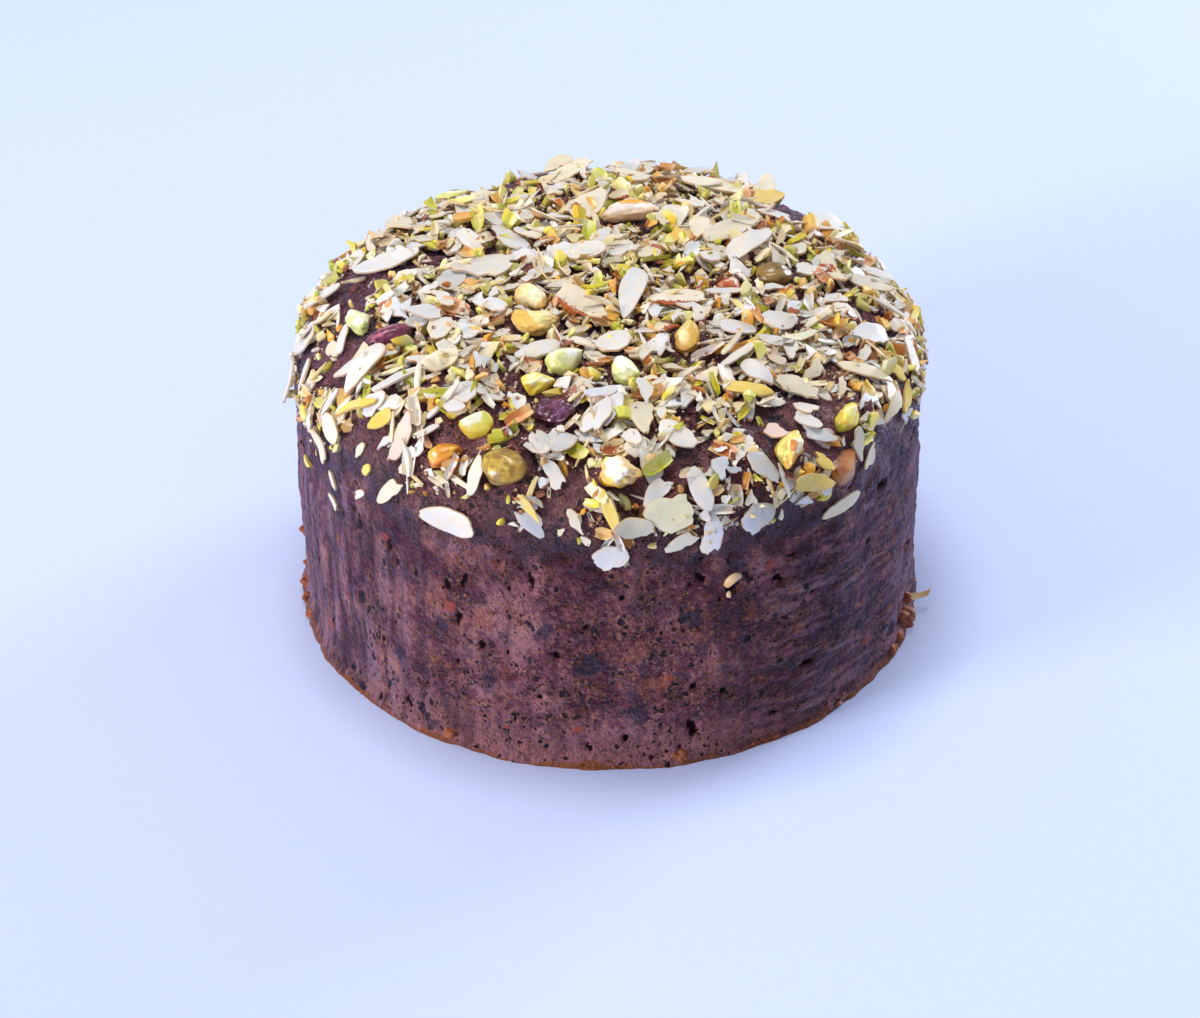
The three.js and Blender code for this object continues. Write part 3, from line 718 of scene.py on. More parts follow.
def rough_lump():
    """A lump of torn cake crumb."""
    piece = start_piece(bpy.ops.mesh.primitive_ico_sphere_add, subdivisions=4, radius=1)
    close_piece(piece)

    def tear(corners):
        rough = 0.3 * noise(corners, 0.7, 81) + 0.16 * noise(corners, 0.3, 82)
        rough += 0.08 * noise(corners, 0.15, 83)
        return corners * (1 + rough)[:, None]

    move_corners(piece, tear)
    return Shape(piece)


# ---- the pile of nuts -----------------------------------------------------------------------

# Half the side of the pile's map, and the side of one of its cells
MAP_REACH = 112
MAP_CELL = 0.5
# Where a triangle is sampled, as shares of its corners
SAMPLE_WEIGHTS = np.array(
    [(1, 0, 0), (0, 1, 0), (0, 0, 1), (0.5, 0.5, 0), (0.5, 0, 0.5), (0, 0.5, 0.5), (0.34, 0.33, 0.33)]
)
STEEPEST_LEAN = 0.5
# Share of a piece that may sink into what it lies on
REST_SHARE = 0.22
DEEPEST_PILE = 3.2
MOST_BEND = 0.018
# How flat small pieces lie: their usual tip, how far a few stand up, their roll and their bow
FLAT_TIP, STANDING_TIP, FLAT_ROLL, FLAT_BOW = 7, 38, 9, 0.025
# Reaches between which they turn calmer and shorter, towards the edge
CALMER, SHORTER = (62, 80), (66, 86)
# Furthest that small nuts are thrown, and how often a place is drawn before one is given up
THROW_REACH = 96
MOST_DRAWS = 60
# Depth of nuts above which small ones roll off, in the middle and near the edge, and the
# reaches between which it changes
ENOUGH_NUTS, THINNING = (2.0, 1.1), (45, 75)
# Share of a small piece that may lie over a large topping
MOST_OVERLAP = 0.15
# Marks on the pile's map
UNDER_FLAKE, UNDER_LARGE = 1, 2
# Angles up to which shading runs smoothly over an edge: on soft lumps, knife cuts and flakes
SOFT_CREASE, CUT_CREASE, FLAKE_CREASE = 60, 28, 30


class Pile:
    """How high the toppings stand off the bare cake, on a map unrolled round the middle of the top."""

    def __init__(self, cake):
        self.cake = cake
        across = np.arange(-MAP_REACH, MAP_REACH, MAP_CELL) + MAP_CELL / 2
        x, y = np.meshgrid(across, across, indexing="ij")
        self.height = cake.relief(np.degrees(np.arctan2(x, -y)), np.hypot(x, y))
        self.bare = self.height.copy()
        self.taken = np.zeros(self.height.shape, np.int8)

    def cells(self, bearing, reach):
        """The cells of the map at places."""
        angle = np.radians(bearing)
        last = self.height.shape[0] - 1
        across = np.int64((reach * np.sin(angle) + MAP_REACH) / MAP_CELL)
        along = np.int64((-reach * np.cos(angle) + MAP_REACH) / MAP_CELL)
        return np.clip(across, 0, last), np.clip(along, 0, last)

    def gap(self, corners):
        """Distance between points and the pile under them."""
        bearing, reach, off = self.cake.foot(corners)
        return off - self.height[self.cells(bearing, reach)]

    def samples(self, shape, corners):
        """Cells that a piece lies over, and how high it stands off the bare cake there."""
        samples = np.einsum("wk,tkc->twc", SAMPLE_WEIGHTS, corners[shape.triangles]).reshape(-1, 3)
        bearing, reach, off = self.cake.foot(samples)
        return self.cells(bearing, reach), off

    def cover(self, shape, corners, mark=0):
        """Adds a piece that has been laid to the pile, and may mark the cells that it takes."""
        cells, off = self.samples(shape, corners)
        np.maximum.at(self.height, cells, np.minimum(off, DEEPEST_PILE))
        if mark:
            for step in ((0, 0), (1, 0), (-1, 0), (0, 1), (0, -1)):
                self.taken[tuple(cells[i] + step[i] for i in (0, 1))] = mark

    def hides_large(self, shape, corners):
        """Whether a piece would lie over a large topping."""
        cells, _ = self.samples(shape, corners)
        return np.mean(self.taken[cells] == UNDER_LARGE) > MOST_OVERLAP

    def is_taken(self, bearing, reach):
        return bool(self.taken[self.cells(bearing, reach)])

    def is_full(self, bearing, reach):
        """Whether the nuts already lie as deep as they stay."""
        cell = self.cells(bearing, reach)
        return self.height[cell] - self.bare[cell] > np.interp(reach, THINNING, ENOUGH_NUTS)

    def let_down(self, local, bearing, reach, sink, lean, bend=0.0, rest=REST_SHARE):
        """Corners of a piece let down at a place, leaning and bending as the pile under it does."""
        point, axes = self.cake.seat(bearing, reach)
        local = local + (0, 0, self.height[self.cells(bearing, reach)])
        if lean:
            x, y = local[:, 0], local[:, 1]
            terms = np.column_stack([x, y, x * x, x * y, y * y, np.ones(len(x))])
            terms = terms[:, [0, 1, 2, 3, 4, 5] if bend else [0, 1, 5]]
            level = local * (1, 1, 0) + (0, 0, local[:, 2].mean())
            fit = np.linalg.lstsq(terms, self.gap(point + level @ axes.T), rcond=None)[0]
            fall = terms[:, :2] @ np.clip(lean * fit[:2], -STEEPEST_LEAN, STEEPEST_LEAN)
            if bend:
                fall += terms[:, 2:5] @ np.clip(bend * fit[2:5], -MOST_BEND, MOST_BEND)
            local = local - np.outer(fall, (0, 0, 1))
        corners = point + local @ axes.T
        return corners - axes[:, 2] * (np.quantile(self.gap(corners), rest) + sink)


def turned(local, heading, tip=0.0, bank=0.0):
    """A piece rolled on its length, tipped up at its far end and turned to its heading."""
    turn = (
        Matrix.Rotation(math.radians(heading), 3, "Z")
        @ Matrix.Rotation(math.radians(-tip), 3, "Y")
        @ Matrix.Rotation(math.radians(bank), 3, "X")
    )
    return local @ np.array(turn).T


class Heap:
    """Copies of modelled shapes, gathered to become one piece."""

    def __init__(self):
        self.corners, self.triangles = [], []
        self.tints, self.places, self.rims, self.skins = [], [], [], []
        self.count = 0

    def add(self, shape, corners, local, tint, skin=0.0, rim=None):
        self.corners.append(corners)
        self.triangles.append(shape.triangles + self.count)
        self.tints.append(np.broadcast_to(tint, (len(corners), 4)))
        self.places.append(local + 40 * len(self.corners) % 977)
        self.rims.append(shape.rim if rim is None else rim * shape.rim)
        self.skins.append(np.broadcast_to(skin, len(corners)))
        self.count += len(corners)

    def make(self, name, material, slot, crease):
        """Joins the copies into one piece that rides on the cake."""
        piece = mesh_piece(name, np.concatenate(self.corners), np.concatenate(self.triangles))
        for attribute, kind, field, parts in (
            ("tint", "FLOAT_COLOR", "color", self.tints),
            ("place", "FLOAT_VECTOR", "vector", self.places),
            ("rim", "FLOAT", "value", self.rims),
            ("skin", "FLOAT", "value", self.skins),
        ):
            put_attribute(piece, attribute, kind, field, np.concatenate(parts))
        finish_piece(piece, material, slot, crease)
        return piece


def mesh_piece(name, corners, triangles):
    """A new object of triangles, given in millimetres."""
    mesh = bpy.data.meshes.new(name)
    mesh.vertices.add(len(corners))
    mesh.vertices.foreach_set("co", (corners * MM).ravel())
    mesh.loops.add(len(triangles) * 3)
    mesh.loops.foreach_set("vertex_index", triangles.ravel().astype(np.int32))
    mesh.polygons.add(len(triangles))
    mesh.polygons.foreach_set("loop_start", np.arange(0, len(triangles) * 3, 3, dtype=np.int32))
    mesh.update(calc_edges=True)
    mesh.validate()
    piece = bpy.data.objects.new(name, mesh)
    bpy.context.collection.objects.link(piece)
    return piece


def put_attribute(piece, name, kind, field, values):
    """Writes one value for each corner of a piece."""
    layer = piece.data.attributes.new(name, kind, "POINT")
    layer.data.foreach_set(field, np.ascontiguousarray(values, dtype=np.float32).ravel())


def finish_piece(piece, material, slot, crease):
    """Smooths the shading up to a crease angle, gives the finish and sets the piece on the cake."""
    bpy.ops.object.select_all(action="DESELECT")
    piece.select_set(True)
    bpy.context.view_layer.objects.active = piece
    bpy.ops.object.shade_smooth_by_angle(angle=math.radians(crease))
    piece.data.materials.clear()
    piece.data.materials.append(material)
    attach(piece, "root")


# ---- finishes -------------------------------------------------------------------------------


def add_node(material, kind, settings=None, links=None):
    """Adds a node. Settings are sockets or properties by name, links are sockets with their source.

    A source is an output, or a node that stands for its first output.
    """
    node = material.node_tree.nodes.new("ShaderNode" + kind)
    for key, value in (settings or {}).items():
        if key == "stops":
            ramp = node.color_ramp
            while len(ramp.elements) < len(value):
                ramp.elements.new(0.5)
            for element, (position, colour) in zip(ramp.elements, value):
                element.position = position
                element.color = colour
        elif isinstance(key, int) or key in node.inputs:
            node.inputs[key].default_value = value
        else:
            setattr(node, key, value)
    for key, source in (links or {}).items():
        if isinstance(source, bpy.types.Node):
            source = next(output for output in source.outputs if output.enabled)
        material.node_tree.links.new(source, node.inputs[key])
    return node


MIX_FACTOR, MIX_FIRST, MIX_SECOND = 0, 6, 7


def new_material(name):
    material = bpy.data.materials.new(name)
    material.use_nodes = True
    material.node_tree.nodes.clear()
    return material


def close_material(material, colour, bump, settings, links=None):
    """Ends a material in a principled shader with its colour, bump and settings."""
    links = {"Base Color": colour, "Normal": bump, **(links or {})}
    shader = add_node(material, "BsdfPrincipled", settings, links)
    add_node(material, "OutputMaterial", None, {"Surface": shader})
    return material


# Spots in the batter: width of a cell, share of cells picked, radius as a share of the cell,
# strength
CRUMB_SPOTS = ((2.4, 0.4, 0.36, 0.4), (1.1, 0.45, 0.45, 0.65), (0.8, 0.35, 0.45, 0.55))
# Clouds in the batter: channel, where they begin and are full, strength, colour setting
CRUMB_CLOUDS = (
    ("Red", 0.55, 0.66, 0.6, "crumb_blue"),
    ("Green", 0.54, 0.68, 0.55, "crumb_warm"),
    ("Blue", 0.54, 0.66, 0.55, "crumb_dark"),
)
# Pores too fine for the mesh: width of a cell, share of cells picked, largest radius
# the pores' dark colour is painted shade
CRUMB_PORES = ((1.0, 0.55, 0.5), (2.0, 0.5, 0.44), (3.6, 0.45, 0.36))
# What the mesh marks on the crumb: attribute, how far its edge is torn, softness, strength, colour
CRUMB_MARKS = (
    ("fruit", 0.7, 0.2, 0.7, "fruit"),
    ("peel", 0.8, 0.16, 0.75, "peel"),
    ("crust", 0.9, 0.1, 0.85, "foot_crust"),
    # painted shade in a band round the shoulder
    ("sticky", 0.9, 0.25, 0.7, "crumb_dark"),
    # painted shade inside the pits
    ("pit", 0.6, 0.06, 1.0, "pit"),
)
# Share of the broad clouds against one share of fine grain
CLOUD_SHARE = 1.4
WARP = 1.4 * MM


def baked_crumb(colours):
    """Moist fruit cake crumb: granular brown, pitted, with a dull sheen where the paper lay, and painted
    light: shade in pits, grooves and round the shoulder, highlights on ridges and pore rims, light from
    the floor at the foot.
    """
    m = new_material("baked_fruit_cake_crumb")
    where = add_node(m, "TexCoord").outputs["Object"]
    pulled = add_node(m, "Attribute", {"attribute_name": "pulled"}).outputs["Vector"]
    known = {
        name: add_node(m, "Attribute", {"attribute_name": name}).outputs["Fac"]
        for name in (
            "top", "pit", "fruit", "peel", "level", "upright", "crust", "dry", "sticky", "groove"
        )
    }

    # clouds in the batter, the grain of the crumb, and a fine warp that tears edges
    blotch, grain = (
        add_node(m, "TexNoise", {"Scale": per(size), "Detail": 4, "Roughness": rough}, {"Vector": where})
        for size, rough in ((15, 0.6), (1.5, 0.66))
    )
    fray = add_node(m, "TexNoise", {"Scale": per(1.2), "Detail": 2}, {"Vector": pulled})
    warped = add_node(
        m, "VectorMath", {"operation": "MULTIPLY_ADD", 1: (WARP, WARP, WARP)},
        {0: fray.outputs["Color"], 2: pulled},
    )
    clouded = add_node(m, "Math", {"operation": "MULTIPLY_ADD", 1: CLOUD_SHARE}, {0: blotch, 2: grain})
    both = add_node(m, "Math", {"operation": "MULTIPLY", 1: 1 / (CLOUD_SHARE + 1)}, {0: clouded})
    colour, dark_top = (
        add_node(m, "ValToRGB", {"stops": [*zip(places, shades)]}, {"Fac": both})
        for places, shades in (
            ((0.4, 0.49, 0.605), (colours.crumb_dark, colours.crumb, colours.crumb_light)),
            ((0.38, 0.52, 0.66), (colours.crumb_dark, colours.crumb_top, colours.crumb_light)),
        )
    )

    # clouds, and spots of spice and nut, crowded where the warm clouds are
    drift = add_node(m, "TexNoise", {"Scale": per(8), "Detail": 3, "Roughness": 0.62}, {"Vector": where})
    drifts = add_node(m, "SeparateColor", None, {"Color": drift.outputs["Color"]})
    layers = []
    for channel, begin, full, strength, cloud_colour in CRUMB_CLOUDS:
        limits = {"From Min": begin, "From Max": full, "To Max": strength}
        cloud = add_node(m, "MapRange", limits, {"Value": drifts.outputs[channel]})
        layers.append((cloud, getattr(colours, cloud_colour)))
    for width, share, radius, strength in CRUMB_SPOTS:
        cell = add_node(m, "TexVoronoi", {"Scale": per(width)}, {"Vector": warped})
        limits = {"From Min": radius, "From Max": 0.5 * radius, "To Max": strength}
        inside = add_node(m, "MapRange", limits, {"Value": cell})
        lot = add_node(m, "SeparateColor", None, {"Color": cell.outputs["Color"]})
        likely = add_node(
            m, "Math", {"operation": "MULTIPLY_ADD", 1: 1.6}, {0: drifts.outputs["Green"], 2: lot}
        )
        limits = {"From Min": 1.9 - share, "From Max": 2.0 - share}
        picked = add_node(m, "MapRange", limits, {"Value": likely})
        mask = add_node(m, "Math", {"operation": "MULTIPLY"}, {0: inside, 1: picked})
        layers.append((mask, colours.speck))

    # lighter crumb towards the foot: painted light bounced up from the floor
    floor_bounce_grain = add_node(m, "Math", {"operation": "MULTIPLY_ADD", 1: 1.6}, {0: grain, 2: known["dry"]})
    limits = {"From Min": 1.0, "From Max": 2.1, "To Max": 0.75}
    floor_bounce_light = add_node(m, "MapRange", limits, {"Value": floor_bounce_grain})
    layers.append((floor_bounce_light, colours.crumb_light))

    # ridges and grooves of the paper, upright to the left, level to the right: a painted highlight on the
    # ridges, painted shade in the grooves
    upright_map = add_node(m, "Mapping", {"Scale": (per(3), per(3), per(42))}, {"Vector": where})
    upright = add_node(m, "TexNoise", {"Scale": 1.0, "Detail": 2}, {"Vector": upright_map})
    level_map = add_node(m, "Mapping", {"Scale": (per(20), per(20), per(2.2))}, {"Vector": where})
    across = add_node(m, "TexNoise", {"Scale": 1.0, "Detail": 3}, {"Vector": level_map})
    lines = add_node(m, "Mix", {"data_type": "FLOAT"}, {0: known["level"], 2: upright, 3: across})
    creased = add_node(m, "Math", {"operation": "MAXIMUM"}, {0: known["level"], 1: known["upright"]})
    for begin, full, strength, over in (
        (0.52, 0.66, 0.6, colours.painted_ridge_sheen), (0.46, 0.34, 0.75, colours.crumb_dark),
    ):
        limits = {"From Min": begin, "From Max": full, "To Max": strength}
        line = add_node(m, "MapRange", limits, {"Value": lines})
        layers.append((add_node(m, "Math", {"operation": "MULTIPLY"}, {0: line, 1: creased}), over))
    # painted shade in the grooves that the mesh's folds press in
    groove_shade = add_node(m, "Math", {"operation": "MULTIPLY", 1: 0.8}, {0: known["groove"]})
    layers += [(known["top"], dark_top), (groove_shade, colours.crumb_dark)]

    # pores with torn edges, dark with painted shade, each with a pale rim that is a painted highlight
    pores = rims = None
    for width, share, radius in CRUMB_PORES:
        cell = add_node(m, "TexVoronoi", {"Scale": per(width)}, {"Vector": warped})
        lot = add_node(m, "SeparateColor", None, {"Color": cell.outputs["Color"]})
        limits = {"From Min": 1 - share, "To Min": -0.75, "To Max": radius - 0.65, "clamp": False}
        size = add_node(m, "MapRange", limits, {"Value": lot.outputs["Green"]})
        crowded = add_node(
            m, "Math", {"operation": "MULTIPLY_ADD", 1: 1.3}, {0: drifts.outputs["Blue"], 2: size}
        )
        depth = add_node(m, "Math", {"operation": "SUBTRACT"}, {0: crowded, 1: cell})
        inside = add_node(m, "MapRange", {"From Min": 0.0, "From Max": 0.1}, {"Value": depth})
        limits = {"From Min": -0.14, "From Max": 0.0, "To Max": 0.35}
        pore_rim_highlight = add_node(m, "MapRange", limits, {"Value": depth})
        if pores is not None:
            inside = add_node(m, "Math", {"operation": "MAXIMUM"}, {0: pores, 1: inside})
            pore_rim_highlight = add_node(m, "Math", {"operation": "MAXIMUM"}, {0: rims, 1: pore_rim_highlight})
        pores, rims = inside, pore_rim_highlight
    layers += [(rims, colours.speck), (pores, colours.pit)]

    # what the mesh marks, with torn edges: baked fruit, peel, crust, and the painted shade round the
    # shoulder and in the pits
    tear = add_node(m, "TexNoise", {"Scale": per(0.9), "Detail": 3, "Roughness": 0.65}, {"Vector": where})
    for name, fringe, softness, strength, mark_colour in CRUMB_MARKS:
        torn = add_node(m, "Math", {"operation": "MULTIPLY_ADD", 1: fringe}, {0: tear, 2: known[name]})
        middle = 0.5 + fringe / 2
        limits = {"From Min": middle - softness, "From Max": middle + softness, "To Max": strength}
        mask = add_node(m, "MapRange", limits, {"Value": torn})
        layers.append((mask, getattr(colours, mark_colour)))
    for mask, over in layers:
        settings, links = {"data_type": "RGBA"}, {MIX_FACTOR: mask, MIX_FIRST: colour}
        (links if isinstance(over, bpy.types.Node) else settings)[MIX_SECOND] = over
        colour = add_node(m, "Mix", settings, links)

    # relief finer than the mesh: folds, pores, clods of the top, and two sizes of crumb
    clod = add_node(m, "TexNoise", {"Scale": per(3), "Detail": 3, "Roughness": 0.6}, {"Vector": where})
    clods = add_node(m, "Math", {"operation": "MULTIPLY"}, {0: clod, 1: known["top"]})
    crisp = add_node(m, "TexNoise", {"Scale": per(0.9), "Detail": 3, "Roughness": 0.7}, {"Vector": where})
    line_depth = add_node(m, "MapRange", {"To Min": 0.15, "To Max": 0.8}, {"Value": creased})
    bump = add_node(m, "Bump", {"Distance": 1.5 * MM}, {"Strength": line_depth, "Height": lines})
    for height, depth, inward in (
        (pores, 0.7, True), (clods, 3.5, False), (crisp, 1.3, False), (grain, 1.2, False),
    ):
        settings = {"Strength": 1.0, "Distance": depth * MM, "invert": inward}
        bump = add_node(m, "Bump", settings, {"Height": height, "Normal": bump})

    # moist on top, dull where the paper lay
    limits = {"From Min": 0.4, "From Max": 0.65, "To Min": 0.38, "To Max": 0.52}
    dull = add_node(m, "MapRange", limits, {"Value": blotch})
    wet = add_node(m, "Math", {"operation": "MULTIPLY_ADD", 1: -0.22}, {0: known["top"], 2: dull})
    gloss = add_node(m, "MapRange", {"To Min": 0.11, "To Max": 0.8}, {"Value": known["top"]})
    hazy = add_node(m, "MapRange", {"To Min": 0.65, "To Max": 0.0}, {"Value": known["pit"]})
    return close_material(
        m, colour, bump, {"IOR": 1.45, "Sheen Roughness": 0.12, "Sheen Tint": (0.5, 0.5, 1.0, 1)},
        {"Roughness": wet, "Specular IOR Level": gloss, "Sheen Weight": hazy},
    )


def cut_nut(name, note_colour, skin_colour, rim_colour, roughness, fleck, depth):
    """A cut nut: its own tint with soft clouds, another at its rim, and skin where it was left on."""
    m = new_material(name)
    place = add_node(m, "Attribute", {"attribute_name": "place"}).outputs["Vector"]
    colour = add_node(m, "Attribute", {"attribute_name": "tint"}).outputs["Color"]
    rim = add_node(m, "Attribute", {"attribute_name": "rim"}).outputs["Fac"]
    skin = add_node(m, "Attribute", {"attribute_name": "skin"}).outputs["Fac"]
    cloud = add_node(m, "TexNoise", {"Scale": 1 / 2.6, "Detail": 3}, {"Vector": place})
    limits = {"From Min": 0.42, "From Max": 0.75, "To Max": fleck}
    clouded = add_node(m, "MapRange", limits, {"Value": cloud})
    warm = add_node(m, "Math", {"operation": "MULTIPLY", 1: 0.75}, {0: rim})
    torn = add_node(m, "TexNoise", {"Scale": 1 / 0.9, "Detail": 2}, {"Vector": place})
    ragged = add_node(m, "Math", {"operation": "MULTIPLY_ADD", 1: 1.6, 2: -0.8}, {0: torn})
    torn_skin = add_node(m, "Math", {"operation": "ADD"}, {0: skin, 1: ragged})
    skinned = add_node(m, "MapRange", {"From Min": 0.42, "From Max": 0.58}, {"Value": torn_skin})
    for mask, over in ((clouded, note_colour), (warm, rim_colour), (skinned, skin_colour)):
        settings = {"data_type": "RGBA", MIX_SECOND: linear(over)}
        colour = add_node(m, "Mix", settings, {MIX_FACTOR: mask, MIX_FIRST: colour})
    fine = add_node(m, "TexNoise", {"Scale": 1 / 0.55, "Detail": 3}, {"Vector": place})
    bump = add_node(m, "Bump", {"Strength": 0.5, "Distance": depth * MM}, {"Height": fine})
    return close_material(m, colour, bump, {
        "Roughness": roughness, "IOR": 1.46, "Subsurface Weight": 0.12,
        "Subsurface Radius": (1.0, 0.8, 0.6), "Subsurface Scale": 1.2 * MM,
    })


def dried_fruit(name, dark, shadow, wet, roughness):
    """Dried fruit: its tint, darker in the wrinkles and on its shadowed side, with a moist skin."""
    m = new_material(name)
    place = add_node(m, "Attribute", {"attribute_name": "place"}).outputs["Vector"]
    tint = add_node(m, "Attribute", {"attribute_name": "tint"}).outputs["Color"]
    side = add_node(m, "Attribute", {"attribute_name": "skin"}).outputs["Fac"]
    cloud = add_node(m, "TexNoise", {"Scale": 1 / 1.8, "Detail": 3}, {"Vector": place})
    light = add_node(m, "MapRange", {"From Min": 0.38, "From Max": 0.68}, {"Value": cloud})
    mixed = add_node(
        m, "Mix", {"data_type": "RGBA", MIX_FIRST: linear(dark)}, {MIX_FACTOR: light, MIX_SECOND: tint}
    )
    streaked = add_node(m, "Math", {"operation": "MULTIPLY_ADD", 1: 1.2}, {0: cloud, 2: side})
    limits = {"From Min": 0.9, "From Max": 1.15, "To Max": 0.85}
    shaded = add_node(m, "MapRange", limits, {"Value": streaked})
    settings = {"data_type": "RGBA", MIX_SECOND: linear(shadow)}
    colour = add_node(m, "Mix", settings, {MIX_FACTOR: shaded, MIX_FIRST: mixed})
    folds = {"Scale": 1 / 1.1, "Detail": 2, "Distortion": 0.6}
    wrinkle = add_node(m, "TexNoise", folds, {"Vector": place})
    bump = add_node(m, "Bump", {"Strength": 0.3, "Distance": 0.4 * MM}, {"Height": wrinkle})
    return close_material(m, colour, bump, {
        "Roughness": roughness, "IOR": 1.48, "Coat Weight": wet, "Coat Roughness": 0.25,
        "Subsurface Weight": 0.1, "Subsurface Scale": 1.0 * MM,
    })


# ---- the work in hand -----------------------------------------------------------------------


class Bench:
    """What one operator leaves for the next: the pile on the bare cake, shapes and finishes."""

    pile = None
    heaps = {}
    kept_back = []
    shapes = {}
    materials = {}


def bench_pile():
    if Bench.pile is None:
        raise RuntimeError("Bake the cake before its toppings are laid")
    return Bench.pile


def shapes(kind):
    """The modelled shapes of one kind, made when they are first asked for."""
    if kind not in Bench.shapes:
        Bench.shapes[kind] = {
            "whole": lambda: [
                almond_slice(24, 0.3, 0.06), almond_slice(24, 0.16, 0.08, [(186, 0.84)]),
                almond_slice(24, 0.25, 0.08, [(190, 0.8), (65, 0.5)]),
                almond_slice(24, 0.1, 0.1, [(20, 0.72), (-70, 0.5)]),
            ],
            "broad": lambda: [
                almond_slice(24, 0.05, 0.06), almond_slice(24, 0.1, 0.12, [(15, 0.72), (100, 0.5)]),
                almond_slice(24, 0.0, 0.1, [(200, 0.65), (80, 0.45)]),
            ],
            "snapped": lambda: [
                almond_slice(22, 0.25, 0.1, [(10, 0.4), (250, 0.45)]),
                almond_slice(22, 0.2, 0.14, [(-20, 0.15)]),
                almond_slice(22, 0.05, 0.12, [(160, 0.25), (30, 0.6)]),
                almond_slice(22, 0.3, 0.1, [(200, 0.5), (100, 0.38)]),
                almond_slice(22, 0.1, 0.14, [(45, 0.25), (225, 0.5)]),
            ],
            "chip": lambda: [
                almond_slice(14, 0.25, 0.12, [(15, 0.2), (100, 0.35)], 0.04),
                almond_slice(14, 0.1, 0.14, [(-25, 0.35), (170, 0.2), (80, 0.4)], -0.05),
                almond_slice(14, 0.3, 0.12, [(110, 0.1), (0, 0.5)], 0.06),
                almond_slice(14, 0.0, 0.16, [(60, 0.15), (200, 0.3)]),
                almond_slice(14, 0.2, 0.12, [(150, 0.1), (10, 0.4), (250, 0.25)], 0.05),
                almond_slice(14, 0.3, 0.12, [(90, 0.05), (220, 0.5)], -0.06),
                almond_slice(14, 0.1, 0.18, [(-60, 0.2), (60, 0.25)], 0.03),
                almond_slice(14, 0.15, 0.1, [(135, 0.0), (-30, 0.45)], 0.05),
            ],
            "sliver": lambda: [sliver(seed) for seed in range(1, 4)],
            "chopped": lambda: [chopped(7, seed) for seed in (5, 16, 29, 38, 47, 53, 61)],
            "rounded": lambda: [chopped(2, 71)],
            "skin": lambda: [curled_skin(seed) for seed in range(1, 4)],
            "crumb": lambda: [crumb_shape(seed) for seed in range(1, 4)],
        }[kind]()
    return Bench.shapes[kind]


def nut_materials():
    """The finishes that the toppings share."""
    if not Bench.materials:
        Bench.materials = {
            # sliced blanched almond: satin ivory with cream clouds and a tan rim
            "almond": cut_nut("blanched_almond_cut", "#eed49c", "#b0582e", "#d2a060", 0.4, 0.5, 0.15),
            # shelled pistachio: waxy yellow, green outside, pale where it was cut
            "pistachio": cut_nut(
                "shelled_pistachio_waxy", "#e0d858", "#a4ac3c", "#f4eebc", 0.32, 0.45, 0.15
            ),
            # roasted cashew and peanut: smooth, oily gold, pale where it was cut
            "toasted": cut_nut("roasted_nut_oily", "#e2a040", "#b0622c", "#f6dfa4", 0.3, 0.45, 0.15),
            # papery skin of almond and pistachio: dull red brown
            "skin": cut_nut("nut_skin_papery", "#7a4334", "#5b2c30", "#a8623c", 0.5, 0.6, 0.3),
            # dark raisin and cranberry: wet, wine red
            "dark_fruit": dried_fruit("dried_dark_fruit_waxy", "#5b1a2e", "#3a1830", 0.5, 0.3),
            # sultana: translucent amber and olive
            "pale_fruit": dried_fruit("dried_sultana_waxy", "#94702c", "#4a3038", 0.5, 0.3),
        }
    return Bench.materials


# ---- operators ------------------------------------------------------------------------------


